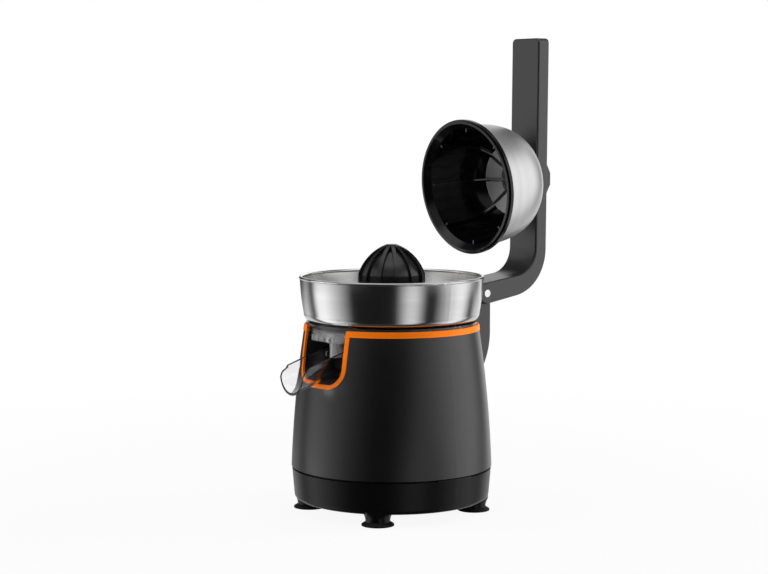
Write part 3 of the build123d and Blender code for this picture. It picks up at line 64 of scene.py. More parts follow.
# %% [markdown]
# ## The camera
# A product photograph is taken from far away with a long lens, so that upright edges stay nearly
# upright. The numbers were found by fitting the body's outline. Only the lens and the place matter: no
# shift is needed. Two directions, "right in the picture" and "towards the camera", also help to place
# the lights later.

# %% Camera
picture_width = 768
focal_length_pixels = 1908.2
sensor_width_mm = 36
camera_turn = 0.8973
camera_distance = 1.5806
camera_height = 0.3287
camera_side_step = -0.0063
camera_nod = 0.0899

to_camera = Vector((math.sin(camera_turn), -math.cos(camera_turn), 0))
picture_right = Vector((math.cos(camera_turn), math.sin(camera_turn), 0))
upward = Vector((0, 0, 1))

lens = bpy.data.cameras.new("portrait_lens")
lens.sensor_width = sensor_width_mm
lens.sensor_fit = "HORIZONTAL"
lens.lens = focal_length_pixels / picture_width * sensor_width_mm
camera = bpy.data.objects.new("portrait_camera", lens)
camera.location = to_camera * camera_distance + picture_right * camera_side_step + upward * camera_height
camera.rotation_euler = (math.pi / 2 - camera_nod, 0, camera_turn)
bpy.context.scene.collection.objects.link(camera)
bpy.context.scene.camera = camera
bpy.context.scene.view_settings.view_transform = "Standard"
print("lens", round(lens.lens, 1), "mm at", [round(v, 3) for v in camera.location])

# %% [markdown]
# ## Small helpers for shader trees
# A shader tree is a set of nodes and the links between them. It could be clicked together by hand, but
# then nobody could read it here. A few helpers keep the recipes short: one adds a node and fills in its
# settings, one joins two sockets, and the others stand for the sums and mixes that come back in every
# recipe.


# %% Node helpers
def add(tree, kind, inputs=None, **settings):
    """A new node with its settings, and with values on its unlinked inputs."""
    node = tree.nodes.new(kind)
    for key, value in settings.items():
        setattr(node, key, value)
    for key, value in (inputs or {}).items():
        node.inputs[key].default_value = value
    return node


def join(tree, source, target):
    tree.links.new(source, target)


def feed(tree, socket, value):
    """Gives a socket what it needs: a link, a plain number, or a grey or a colour made opaque."""
    if isinstance(value, bpy.types.NodeSocket):
        join(tree, value, socket)
    elif socket.type == "RGBA":
        socket.default_value = (value, value, value, 1) if isinstance(value, float) else (*value, 1)
    else:
        socket.default_value = value


def compute(tree, operation, first, second):
    """A Math node whose two inputs are sockets or plain numbers."""
    node = add(tree, "ShaderNodeMath", operation=operation)
    feed(tree, node.inputs[0], first)
    feed(tree, node.inputs[1], second)
    return node.outputs[0]


def dot(tree, first, second):
    """How far two directions agree, as one number."""
    node = add(tree, "ShaderNodeVectorMath", operation="DOT_PRODUCT")
    feed(tree, node.inputs[0], first)
    feed(tree, node.inputs[1], second)
    return node.outputs["Value"]


def split(tree, vector):
    """The X, Y and Z of a vector as three sockets."""
    node = add(tree, "ShaderNodeSeparateXYZ")
    join(tree, vector, node.inputs[0])
    return node.outputs


def between(tree, value, low, high):
    """Takes a value from 0 to 1 and spreads it between two numbers."""
    node = add(tree, "ShaderNodeMapRange", {"To Min": low, "To Max": high})
    join(tree, value, node.inputs["Value"])
    return node.outputs[0]


def rising(tree, value, zero_at, one_at, easing="LINEAR"):
    """The opposite: 0 where the value reaches one number, 1 where it reaches the other."""
    ends = {"From Min": zero_at, "From Max": one_at}
    node = add(tree, "ShaderNodeMapRange", ends, interpolation_type=easing)
    join(tree, value, node.inputs["Value"])
    return node.outputs[0]


def mixed(tree, first, second, mask, kind="MIX"):
    """One colour that gives way to another where a mask says so."""
    node = add(tree, "ShaderNodeMix", data_type="RGBA", blend_type=kind)
    feed(tree, node.inputs["A"], first)
    feed(tree, node.inputs["B"], second)
    join(tree, mask, node.inputs["Factor"])
    return node.outputs["Result"]


def noise(tree, place, **inputs):
    """A noise texture at a place, with a value from 0 to 1."""
    node = add(tree, "ShaderNodeTexNoise", inputs)
    join(tree, place, node.inputs["Vector"])
    return node


def new_group(name, inputs, outputs):
    """An empty shader node group. Its inputs are numbers with a usual value, or vectors, which have none."""
    group = bpy.data.node_groups.new(name, "ShaderNodeTree")
    for label, usual in inputs.items():
        kind = "NodeSocketVector" if usual is None else "NodeSocketFloat"
        socket = group.interface.new_socket(label, in_out="INPUT", socket_type=kind)
        if usual is not None:
            socket.default_value = usual
    for label in outputs:
        group.interface.new_socket(label, in_out="OUTPUT", socket_type="NodeSocketFloat")
    return group, add(group, "NodeGroupInput").outputs, add(group, "NodeGroupOutput").inputs


print("helpers ready")

# %% [markdown]
# ## Effect 1: the fine grain of a mould
# Injection-moulded plastic is never quite smooth. The mould is spark eroded or blasted, and that leaves
# a grain of a few tenths of a millimetre. Broad, soft patches are a little shinier where hands have
# been. Two noises, one fine and one broad, give both, and every plastic piece uses this group with its
# own scale.

# %% Group: mould grain
usual_grain = 2200.0
patches_per_metre = 22.0
mould_grain, taken, given = new_group(
    "mould_grain", {"Vector": None, "Grain Per Metre": usual_grain}, ["Height", "Handled"])
fine = noise(mould_grain, taken["Vector"], Detail=2.0, Roughness=0.55)
join(mould_grain, taken["Grain Per Metre"], fine.inputs["Scale"])
broad = noise(mould_grain, taken["Vector"], Scale=patches_per_metre, Detail=3.0, Roughness=0.5)
join(mould_grain, fine.outputs["Fac"], given["Height"])
join(mould_grain, broad.outputs["Fac"], given["Handled"])
print(mould_grain.name, len(mould_grain.nodes), "nodes")

# %% [markdown]
# ## Effect 2: lines left by turning and brushing
# Spun steel, turned shafts and brushed domes carry fine rings about their axis. In a frame whose Z is
# that axis, a ring is a place with one radius and one height, so a noise that is squeezed along both
# and stretched round the axis draws them. A steel whose axis isn't upright turns its coordinates before
# it uses this group.

# %% Group: turning rings
usual_rings = 2600.0
change_per_radian = 2.5
band_scale = 0.06
turning_rings, taken, given = new_group(
    "turning_rings", {"Vector": None, "Rings Per Metre": usual_rings}, ["Height", "Tone"])
x, y, z = split(turning_rings, taken["Vector"])
radius_squared = compute(
    turning_rings, "ADD", compute(turning_rings, "MULTIPLY", x, x), compute(turning_rings, "MULTIPLY", y, y))
radius = compute(turning_rings, "POWER", radius_squared, 0.5)
ring_place = add(turning_rings, "ShaderNodeCombineXYZ")
for socket, value, scale in (
        ("X", radius, taken["Rings Per Metre"]),
        ("Y", z, taken["Rings Per Metre"]),
        ("Z", compute(turning_rings, "ARCTAN2", y, x), change_per_radian)):
    join(turning_rings, compute(turning_rings, "MULTIPLY", value, scale), ring_place.inputs[socket])
lines = noise(turning_rings, ring_place.outputs[0], Scale=1.0, Detail=3.0, Roughness=0.6)
bands = noise(turning_rings, ring_place.outputs[0], Scale=band_scale, Detail=2.0)
join(turning_rings, lines.outputs["Fac"], given["Height"])
join(turning_rings, bands.outputs["Fac"], given["Tone"])
print(turning_rings.name, len(turning_rings.nodes), "nodes")

# %% [markdown]
# ## Effect 3: dust that settles from above
# Dark appliances show dust first where a surface looks up. The normal's height says how far a place
# looks up, and a speckled noise breaks the film so that it does not look sprayed on. The result is only
# a mask.

# %% Group: settled dust
specks_per_metre = 420.0
usual_dust = 0.3
bare_slope, dusty_slope = 0.35, 1.0
bare_speck, dusty_speck = 0.45, 0.75
settled_dust, taken, given = new_group("settled_dust", {"Vector": None, "Amount": usual_dust}, ["Mask"])
surface = add(settled_dust, "ShaderNodeNewGeometry")
slope = split(settled_dust, surface.outputs["Normal"])["Z"]
looks_up = rising(settled_dust, slope, bare_slope, dusty_slope)
specks = noise(settled_dust, taken["Vector"], Scale=specks_per_metre, Detail=4.0, Roughness=0.7)
speckle = rising(settled_dust, specks.outputs["Fac"], bare_speck, dusty_speck)
film = compute(settled_dust, "MULTIPLY", looks_up, speckle)
join(settled_dust, compute(settled_dust, "MULTIPLY", film, taken["Amount"]), given["Mask"])
print(settled_dust.name, len(settled_dust.nodes), "nodes")

# %% [markdown]
# ## Effect 4: rubbed edges
# Edges are handled and wiped the most. Blender's Bevel node bends the normal near an edge, so where the
# bent normal and the true one part, there is an edge. Their dot product becomes a mask for a slightly
# paler rim.

# %% Group: rubbed edge
edge_reach = 0.0008
flat_agreement, edge_agreement = 0.995, 0.80
rubbed_edge, taken, given = new_group("rubbed_edge", {"Reach": edge_reach}, ["Mask"])
bent = add(rubbed_edge, "ShaderNodeBevel", samples=4)
join(rubbed_edge, taken["Reach"], bent.inputs["Radius"])
agreement = dot(rubbed_edge, bent.outputs[0], add(rubbed_edge, "ShaderNodeNewGeometry").outputs["Normal"])
join(rubbed_edge, rising(rubbed_edge, agreement, flat_agreement, edge_agreement), given["Mask"])
print(rubbed_edge.name, len(rubbed_edge.nodes), "nodes")

# %% [markdown]
# ## How a finish starts
# Every finish begins with the same few nodes: the shader, the coordinates of the piece and a Bump node
# for its relief. Object coordinates are used because each solid sits at the origin, so they are true
# places in metres, and they move with the piece. Numbers that are the same all over sit on the shader
# itself. Only what changes over the surface comes by a link.

# %% Start of a finish
finishes = {}


def start_finish(name, colour, relief_mm, **sockets):
    """A material with its shader, its coordinates and a bump node of a given depth."""
    finish = bpy.data.materials.new(name)
    finish.use_nodes = True
    tree = finish.node_tree
    shader = tree.nodes["Principled BSDF"]
    feed(tree, shader.inputs["Base Color"], colour)
    for label, value in sockets.items():
        shader.inputs[label.replace("_", " ")].default_value = value
    place = add(tree, "ShaderNodeTexCoord").outputs["Object"]
    relief = add(tree, "ShaderNodeBump", {"Distance": relief_mm / 1000})
    join(tree, relief.outputs[0], shader.inputs["Normal"])
    finishes[name] = finish
    return tree, shader, place, relief.inputs["Height"]


def use_group(tree, group, place=None, **values):
    """One of the effects above, with its values."""
    node = add(tree, "ShaderNodeGroup", node_tree=group)
    if place is not None:
        join(tree, place, node.inputs["Vector"])
    for label, value in values.items():
        node.inputs[label.replace("_", " ")].default_value = value
    return node.outputs


print("finishes so far", len(finishes))

# %% [markdown]
# ## Moulded plastics
# Nearly the whole juicer is moulded: a satin black body, a charcoal lever, an orange trim, glossy black
# liner and reamer, natural nylon gears. Each could have its own tree, but one recipe serves all, with
# the grain, the dust and the rubbed edge as its detail. A table then says how the plastics differ.

# %% Recipe: moulded plastic
usual_rub = 0.35
rub_gain, rub_lift = 1.7, 0.012
dust_gain, dust_lift = 0.6, 0.10


def toned(colour, gain, lift=0.0):
    """A colour made paler or darker, but not brighter than full."""
    return [min(1.0, c * gain + lift) for c in colour]


def moulded_plastic(name, colour, shine, depth, dust, rub=usual_rub, grain=usual_grain, **sockets):
    tree, shader, place, relief = start_finish(name, colour, depth, **sockets)
    skin = use_group(tree, mould_grain, place, Grain_Per_Metre=grain)
    film = use_group(tree, settled_dust, place, Amount=dust)
    edge = use_group(tree, rubbed_edge)
    paler = toned(colour, rub_gain, rub_lift)
    dusty = toned(colour, dust_gain, dust_lift)
    worn = mixed(tree, colour, paler, compute(tree, "MULTIPLY", edge["Mask"], rub))
    join(tree, mixed(tree, worn, dusty, film["Mask"]), shader.inputs["Base Color"])
    gloss = between(tree, skin["Handled"], *shine)
    join(tree, compute(tree, "ADD", gloss, film["Mask"]), shader.inputs["Roughness"])
    join(tree, skin["Height"], relief)


nylon = {"grain": 1500.0, "rub": 0.1}
# Each row: name, colour, roughness from and to, depth of the grain in mm, dust, and what else is its own.
plastics = [
    ("black_body", (0.0028, 0.0026, 0.0030), (0.28, 0.35), 0.008, 0.04, {"Specular_IOR_Level": 0.85}),
    ("tray_plastic", (0.0028, 0.0026, 0.0030), (0.30, 0.37), 0.010, 0.04, {"Specular_IOR_Level": 0.20}),
    ("lever_plastic", (0.016, 0.0155, 0.0165), (0.30, 0.38), 0.010, 0.04, {"Specular_IOR_Level": 0.85}),
    ("orange_trim", (1.0, 0.20, 0.0), (0.34, 0.42), 0.008, 0.02, {"rub": 0.05, "Specular_IOR_Level": 0.20}),
    ("inner_plastic", (0.020, 0.020, 0.022), (0.42, 0.55), 0.03, 0.35, {}),
    ("reamer_plastic", (0.010, 0.010, 0.011), (0.20, 0.30), 0.008, 0.05, {}),
    ("strainer_plastic", (0.010, 0.010, 0.011), (0.22, 0.32), 0.008, 0.05, {}),
    ("liner_plastic", (0.004, 0.004, 0.005), (0.10, 0.18), 0.006, 0.02,
     {"Specular_IOR_Level": 0.30, "Coat_Weight": 0.15}),
    # The insert's pale grey is a painted highlight: only the petals keep it, and the fins get black below.
    ("insert_plastic", (0.30, 0.30, 0.31), (0.14, 0.24), 0.006, 0.03, {"rub": 0.5}),
    ("gear_plastic", (0.72, 0.70, 0.63), (0.34, 0.46), 0.02, 0.10, nylon),
    ("bush_nylon", (0.66, 0.66, 0.63), (0.36, 0.46), 0.02, 0.10, nylon),
]
for name, colour, shine, depth, dust, own in plastics:
    moulded_plastic(name, colour, shine, depth, dust, **own)
print("plastics", len(finishes))

# %% [markdown]
# ## The press cup's own coordinates
# The cup hangs on the raised lever, so its axis is tilted, and heights in the room mean nothing to it.
# Turning the coordinates about the hinge, as far as the lever can swing, lays the cup over the reamer,
# where its axis is upright. A Mapping node does that with a rotation and a shift, and both follow from
# the joint.

# %% Cup coordinates
hinge_place = Vector(joints["lever_hinge"]["pos_m"])
press_turn = math.radians(joints["lever_hinge"]["range_deg"][1])
lowered_hinge = Matrix.Rotation(press_turn, 4, "X") @ hinge_place
cup_turn = {"Rotation": (press_turn, 0, 0), "Location": tuple(hinge_place - lowered_hinge)}


def turned(tree, place, turn):
    """A place after a rotation and a shift."""
    node = add(tree, "ShaderNodeMapping", turn)
    join(tree, place, node.inputs["Vector"])
    return node.outputs[0]


print("cup lowered by", round(math.degrees(press_turn), 1), "degrees")

# %% [markdown]
# ## The insert in the press cup
# Deep in the cup is one glossy black moulding with fins and a ring of petals. The petals are painted pale
# grey, a painted highlight for the light they reflect, and the fins keep the dark colour. It could be cut
# into two pieces, but it is one on the real cup, so a mask by height in the cup's own coordinates changes
# its colour from fins to painted petals.

# %% Fins and petals
fin_colour = (0.012, 0.012, 0.013)
petals_from, petals_full = 0.218, 0.221
tree = finishes["insert_plastic"].node_tree
base_colour = tree.nodes["Principled BSDF"].inputs["Base Color"]
painted_petal_highlight = base_colour.links[0].from_socket
cup_place = turned(tree, add(tree, "ShaderNodeTexCoord").outputs["Object"], cup_turn)
petal_highlight_mask = rising(tree, split(tree, cup_place)["Z"], petals_from, petals_full)
# The petals get the painted highlight grey, and the fins the plain black.
join(tree, mixed(tree, fin_colour, painted_petal_highlight, petal_highlight_mask), base_colour)
print("insert", len(tree.nodes), "nodes")

# %% [markdown]
# ## Rubber
# The suction feet and the shaft seal are soft rubber: dull, a little grey, with a coarse bloom on the
# surface. A rougher shader with a larger grain and more of the broad patchiness tells it apart from the
# plastic above it.

# %% Recipe: rubber
rubber_grain = 1400.0
rubber_shine = (0.60, 0.80)
bloom_share = 0.45
bloom_gain, bloom_lift = 1.9, 0.01


def soft_rubber(name, colour):
    tree, shader, place, relief = start_finish(name, colour, relief_mm=0.04, Specular_IOR_Level=0.15)
    skin = use_group(tree, mould_grain, place, Grain_Per_Metre=rubber_grain)
    film = use_group(tree, settled_dust, place, Amount=usual_dust)
    bloom = compute(tree, "MULTIPLY", skin["Handled"], bloom_share)
    greyer = toned(colour, bloom_gain, bloom_lift)
    bloomed = mixed(tree, colour, greyer, compute(tree, "ADD", bloom, film["Mask"]))
    join(tree, bloomed, shader.inputs["Base Color"])
    join(tree, between(tree, skin["Handled"], *rubber_shine), shader.inputs["Roughness"])
    join(tree, skin["Height"], relief)


soft_rubber("foot_rubber", (0.007, 0.007, 0.0075))
soft_rubber("seal_rubber", (0.022, 0.022, 0.023))
print("rubbers made, finishes", len(finishes))

# %% [markdown]
# ## Steels
# The bowl is spun and polished, the press cup is brushed, shafts and screws are turned. All show rings
# about an axis. Anisotropic gloss stretches a highlight across those rings, which is what the eye reads
# as brushed metal. A Tangent node set to Radial gives the direction of the rings, and the ring group
# gives relief and uneven shine. The inside of the bowl is duller, and it is painted paler, a painted
# brighter reflection on its inner wall: there the normal looks at the axis.

# %% Recipe: turned steel
across_axis = (1, 1, 0)
inward_full = -0.02
smears_per_metre = 900.0
band_shade = 0.82


def looks_inward(tree, place):
    """A mask that is 1 where the surface looks at the upright axis."""
    from_axis = add(tree, "ShaderNodeVectorMath", {1: across_axis}, operation="MULTIPLY")
    join(tree, place, from_axis.inputs[0])
    outward = dot(tree, from_axis.outputs[0], add(tree, "ShaderNodeNewGeometry").outputs["Normal"])
    return rising(tree, outward, 0.0, inward_full)


def turned_steel(
        name, colour, shine, depth, rings=usual_rings, stretch=0.0,
        axis_turn=None, spin_axis="Z", painted_inside=None):
    tree, shader, place, relief = start_finish(name, colour, depth, Metallic=1.0, Anisotropic=stretch)
    if axis_turn is not None:
        place = turned(tree, place, axis_turn)
    marks = use_group(tree, turning_rings, place, Rings_Per_Metre=rings)
    smears = use_group(tree, mould_grain, place, Grain_Per_Metre=smears_per_metre)
    look = mixed(tree, colour, toned(colour, band_shade), marks["Tone"])
    half_bands = compute(tree, "MULTIPLY", marks["Tone"], 0.5)
    half_smears = compute(tree, "MULTIPLY", smears["Handled"], 0.5)
    gloss = between(tree, compute(tree, "ADD", half_bands, half_smears), *shine)
    # The inner wall is painted paler, a painted brighter reflection, and made duller.
    if painted_inside is not None:
        painted_inside_colour, duller = painted_inside
        inside = looks_inward(tree, place)
        look = mixed(tree, look, painted_inside_colour, inside)
        gloss = compute(tree, "ADD", gloss, compute(tree, "MULTIPLY", inside, duller))
    join(tree, look, shader.inputs["Base Color"])
    join(tree, gloss, shader.inputs["Roughness"])
    if stretch:
        ring_way = add(tree, "ShaderNodeTangent", direction_type="RADIAL", axis=spin_axis)
        join(tree, ring_way.outputs[0], shader.inputs["Tangent"])
    join(tree, marks["Height"], relief)


print("recipe ready, finishes", len(finishes))

# %% [markdown]
# Each steel says its colour, its roughness from and to, and the depth of its rings in millimetres. The
# cup is brushed, so its highlight is stretched the most, and it uses the cup's own coordinates. The
# hinge pin lies across.

# %% Steels
pin_turn = {"Rotation": (0, math.pi / 2, 0)}
# The bowl's inside: painted paler, a painted brighter reflection, and 0.06 rougher.
bowl_inside_painted = ((0.97, 0.965, 0.96), 0.06)
turned_steel("bowl_steel", (0.68, 0.675, 0.68), (0.12, 0.18), 0.0010, stretch=0.35, painted_inside=bowl_inside_painted)
turned_steel(
    "cup_steel", (0.74, 0.735, 0.74), (0.36, 0.44), 0.003,
    rings=3200.0, stretch=0.55, axis_turn=cup_turn, spin_axis="Y")
turned_steel("pin_steel", (0.82, 0.82, 0.83), (0.10, 0.20), 0.002, axis_turn=pin_turn)
turned_steel("fastener_steel", (0.50, 0.50, 0.51), (0.26, 0.40), 0.004)
turned_steel("shaft_steel", (0.58, 0.58, 0.59), (0.18, 0.30), 0.003)
turned_steel("bearing_bronze", (0.52, 0.33, 0.15), (0.30, 0.45), 0.004)
print("steels made, finishes", len(finishes))

# %% [markdown]
# ## The motor's metals
# A motor can is zinc-plated sheet, its core is a stack of thin laminations, and its coils are enamelled
# copper wire. The stack and the windings could be modelled sheet by sheet, but they are hidden inside
# the body, so a Wave texture along the height draws them, as relief and as dark lines.

# %% Recipe: stacked and wound metal
line_shade = 0.35
patches_in_plating = 60.0


def layered_metal(name, colour, layers, shine, depth):
    tree, shader, place, relief = start_finish(name, colour, depth, Metallic=1.0)
    stack = {"Scale": layers, "Distortion": 0.6, "Detail": 1.0}
    wave = add(tree, "ShaderNodeTexWave", stack, bands_direction="Z")
    join(tree, place, wave.inputs["Vector"])
    patches = noise(tree, place, Scale=patches_in_plating, Detail=4.0)
    dark_lines = toned(colour, line_shade)
    join(tree, mixed(tree, dark_lines, colour, wave.outputs["Fac"]), shader.inputs["Base Color"])
    join(tree, between(tree, patches.outputs["Fac"], *shine), shader.inputs["Roughness"])
    join(tree, wave.outputs["Fac"], relief)


layered_metal("motor_steel", (0.42, 0.43, 0.44), 6.0, (0.30, 0.55), 0.01)
layered_metal("lamination_steel", (0.22, 0.22, 0.23), 320.0, (0.40, 0.60), 0.12)
layered_metal("copper_coils", (0.62, 0.25, 0.09), 260.0, (0.25, 0.40), 0.25)
print("motor metals made, finishes", len(finishes))

# %% [markdown]
# ## Clear plastics
# The collector under the bowl is clear, the spout is smoky. Both are thick polished mouldings, so light
# bends in them and their cut edges look dark. Transmission with the refractive index of acrylic does
# that by itself. The collector scatters a part of the light, so that it stands out in its dark bay, and
# its flange in the gap under the bowl is painted dark: a painted shade for the shadow of the bowl. A faint
# ripple in the relief stands for the flow lines that every clear moulding has.

# %% Recipe: clear moulding
acrylic_ior = 1.49
ripples_per_metre = 70.0
ripple_depth_mm = 0.08
ripple_shade = 0.9


def clear_moulding(name, colour, shine, clear=1.0, painted_flange_shade=None):
    tree, shader, place, relief = start_finish(
        name, colour, ripple_depth_mm, IOR=acrylic_ior, Transmission_Weight=clear)
    ripple = noise(tree, place, Scale=ripples_per_metre, Detail=2.0, Roughness=0.4).outputs["Fac"]
    look = mixed(tree, colour, toned(colour, ripple_shade), ripple)
    # Painted shade: the flange in the gap under the bowl is painted dark.
    if painted_flange_shade is not None:
        shade_from, shade_full, painted_shade_level = painted_flange_shade
        flange_shade_mask = rising(tree, split(tree, place)["Z"], shade_from, shade_full)
        look = mixed(tree, look, painted_shade_level, flange_shade_mask)
    join(tree, look, shader.inputs["Base Color"])
    join(tree, between(tree, ripple, *shine), shader.inputs["Roughness"])
    join(tree, ripple, relief)


# The collector's flange from 0.151 m up is painted dark, as shade under the bowl.
clear_moulding(
    "clear_plastic", (0.98, 0.98, 0.98), (0.02, 0.05), clear=0.82, painted_flange_shade=(0.151, 0.155, 0.12))
clear_moulding("smoky_plastic", (0.93, 0.93, 0.94), (0.01, 0.03))
# A dark tint for the spout's bead, which paints a dark edge on the rim.
clear_moulding("painted_dark_edge", (0.10, 0.10, 0.105), (0.05, 0.10))
print("clear plastics made, finishes", len(finishes))

# %% [markdown]
# ## Dressing the solids
# The record names a material slot for every solid, and the finishes above carry the same names. Going
# through that list gives each solid its finish, and leaves no solid with the plain import material.

# %% Give every solid its finish
for row in frame["record"]["subparts"]:
    mesh = solids[row["node"]].data
    mesh.materials.clear()
    mesh.materials.append(finishes[row["material_slot"]])

# %% [markdown]
# ## A bead along a path
# Two thin round forms come next, the painted dark edge of the spout and the wire of a spring. Both could
# be bevelled curves, but a swept mesh keeps the export plain: a small ring of points is carried along a
# path, and faces join the rings.


# %% Helper: swept bead
def swept_bead(name, path, radius, sides):
    """A round bead along a path, closed at both ends."""
    corners, faces = [], []
    for index, point in enumerate(path):
        ahead = path[min(index + 1, len(path) - 1)] - path[max(index - 1, 0)]
        turn = ahead.to_track_quat("Z", "X")
        for side in range(sides):
            swing = 2 * math.pi * side / sides
            corners.append(point + turn @ Vector((radius * math.cos(swing), radius * math.sin(swing), 0)))
    for index in range(len(path) - 1):
        for side in range(sides):
            here, there = index * sides + side, index * sides + (side + 1) % sides
            faces.append((here, there, there + sides, here + sides))
    faces.append(tuple(reversed(range(sides))))
    faces.append(tuple(range(len(corners) - sides, len(corners))))
    mesh = bpy.data.meshes.new(name)
    mesh.from_pydata(corners, [], faces)
    mesh.shade_smooth()
    piece = bpy.data.objects.new(name, mesh)
    bpy.context.scene.collection.objects.link(piece)
    return piece


print("bead helper ready")

# %% [markdown]
# ## The painted dark edge of the spout
# The cut edge of a smoky moulding looks much darker than its faces, because the light that is caught
# inside comes out there. A thin bead of dark tinted plastic along the rim and round the mouth paints that
# edge: it is painted shade, not a part of the real spout. Its path follows the trough: straight along the
# rim, round the corner of the mouth, under it and back. The bead rides on the spout's own body, so it tips
# with it.

# %% Spout edge
spout_pivot = Vector(joints["spout_tilt"]["pos_m"])
spout_low = Vector(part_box("spout")[0])
trough_slope = math.radians(17.6)
trough_half = 0.0155
trough_wall = 0.0016
trough_keel = 0.009
trough_rim = 0.010
trough_back = 0.0026
mouth_round = 0.007
rim_points, rim_spacing = 6, 0.010
corner_steps = 8
mouth_steps = 24
bead_radius = 0.00055


def rim_path():
    """Points from the back of the right rim to the mouth, round it and back along the left rim."""
    middle = trough_half - trough_wall / 2
    mouth_y = spout_low.y - spout_pivot.y
    mouth_drop = mouth_y * math.tan(trough_slope)
    corner_z = (trough_rim - mouth_round) / math.cos(trough_slope) + mouth_drop
    keel_z = (middle - trough_keel) / math.cos(trough_slope) + mouth_drop
    right_side = []
    for step in range(rim_points):
        level = Vector((0, trough_back - step * rim_spacing, trough_rim))
        right_side.append(Matrix.Rotation(trough_slope, 3, "X") @ level + Vector((middle, 0, 0)))
    for step in range(corner_steps + 1):
        lean = math.pi / 2 * step / corner_steps + trough_slope * (1 - step / corner_steps)
        right_side.append(Vector((
            middle, mouth_y + mouth_round * (1 - math.sin(lean)), corner_z + mouth_round * math.cos(lean))))
    around = []
    for step in range(1, mouth_steps):
        turn = math.pi * step / mouth_steps
        drop = middle * math.sin(turn) / math.cos(trough_slope)
        around.append(Vector((middle * math.cos(turn), mouth_y, keel_z - drop)))
    left_side = [Vector((-p.x, p.y, p.z)) for p in reversed(right_side)]
    return [spout_pivot + point for point in right_side + around + left_side]


# A dark bead along the spout's cut edge: painted shade.
spout_painted_edge = swept_bead("spout_painted_edge", rim_path(), bead_radius, sides=8)
spout_painted_edge.data.materials.append(finishes["painted_dark_edge"])
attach(spout_painted_edge, "spout")
print("spout edge", len(spout_painted_edge.data.polygons), "faces")

# %% [markdown]
# ## A wire spring
# A solid spring can't get shorter, so the thrust cup would run into it when the reamer is pressed down.
# A swept wire takes its place: it winds through the same room and stands on the floor of its tube.

# %% Return spring
spring_low, spring_high = (Vector(corner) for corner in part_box("return_spring"))
spring_wire = 0.0007
spring_turns = 6
steps_per_turn = 32
spring_steps = spring_turns * steps_per_turn
spring_mean = (spring_high.x - spring_low.x) / 2 - spring_wire
spring_length = spring_high.z - spring_low.z
wire_path = []
for step in range(spring_steps + 1):
    wound = 2 * math.pi * step / steps_per_turn
    climbed = (spring_length - 2 * spring_wire) * step / spring_steps
    wire_path.append(Vector((
        spring_mean * math.cos(wound), spring_mean * math.sin(wound), spring_low.z + spring_wire + climbed)))
spring_coils = swept_bead("return_spring_coils", wire_path, spring_wire, sides=10)
spring_coils.data.materials.append(finishes["fastener_steel"])
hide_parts("return_spring")
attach(spring_coils, "base")
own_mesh(spring_coils)

# %% [markdown]
# ## Floor
# The floor is plain and white. A white sheet in a picture has to be lit until it is white, and that
# would burn out the juicer, so the camera sees mostly an even white, with a share of the real floor for
# the shadow. The Light Path node tells which rays come straight from the camera, or from it through the
# clear plastics. Shiny metal looks past the floor into the studio, as it would above a small table.

# %% Floor
floor_reach = 30.0
shadow_within, white_beyond = 0.30, 0.75
even_share_near, even_share_far = 0.92, 1.0
paper_grey, fibre_grey = 0.56, 0.60


def seen_directly(tree):
    """1 for rays from the camera, also through clear plastic, and 0 for all other light."""
    ray = add(tree, "ShaderNodeLightPath").outputs
    return compute(tree, "MAXIMUM", ray["Is Camera Ray"], ray["Is Transmission Ray"])


floor_mesh = bpy.data.meshes.new("studio_floor")
floor_corners = [(floor_reach * a, floor_reach * b, 0) for a, b in ((-1, -1), (1, -1), (1, 1), (-1, 1))]
floor_mesh.from_pydata(floor_corners, [], [(0, 1, 2, 3)])
floor = bpy.data.objects.new("studio_floor", floor_mesh)
bpy.context.scene.collection.objects.link(floor)
paper = bpy.data.materials.new("white_paper")
paper.use_nodes = True
tree = paper.node_tree
sheet = tree.nodes["Principled BSDF"]
sheet.inputs["Roughness"].default_value = 0.9
sheet.inputs["Specular IOR Level"].default_value = 0.0
fibres = add(tree, "ShaderNodeTexNoise", {"Scale": 300.0, "Detail": 3.0})
join(tree, mixed(tree, paper_grey, fibre_grey, fibres.outputs["Fac"]), sheet.inputs["Base Color"])
even_white = add(tree, "ShaderNodeEmission", {"Strength": 1.0})
away = add(tree, "ShaderNodeVectorMath", operation="LENGTH")
join(tree, add(tree, "ShaderNodeNewGeometry").outputs["Position"], away.inputs[0])
whiter = between(
    tree, rising(tree, away.outputs["Value"], shadow_within, white_beyond), even_share_near, even_share_far)
either = add(tree, "ShaderNodeMixShader")
join(tree, compute(tree, "MULTIPLY", seen_directly(tree), whiter), either.inputs[0])
join(tree, sheet.outputs[0], either.inputs[1])
join(tree, even_white.outputs[0], either.inputs[2])
join(tree, either.outputs[0], tree.nodes["Material Output"].inputs["Surface"])
floor_mesh.materials.append(paper)
floor.visible_glossy = False
print("floor", 2 * floor_reach, "m wide")

# %% [markdown]
# ## Studio room
# Polished steel is a picture of the room around it. A product studio is a white sweep behind the
# object, and a dim room in front with tall white panels to the left and right. The world draws that
# room by direction: the angle round the upright, measured from the camera's side, goes through a colour
# ramp. Each panel fades in, is full and fades out. Real panels could stand on the floor instead, but
# then they would also be in the way of other views.

# %% World: panels round the room
world = bpy.data.worlds.new("studio_room")
bpy.context.scene.world = world
world.use_nodes = True
tree = world.node_tree
way = add(tree, "ShaderNodeTexCoord").outputs["Generated"]
nearness = dot(tree, way, to_camera)
height = dot(tree, way, upward)
angle = compute(tree, "ARCTAN2", dot(tree, way, picture_right), nearness)
round_room = compute(tree, "ADD", compute(tree, "DIVIDE", angle, 2 * math.pi), 0.5)
dim_room = 0.015

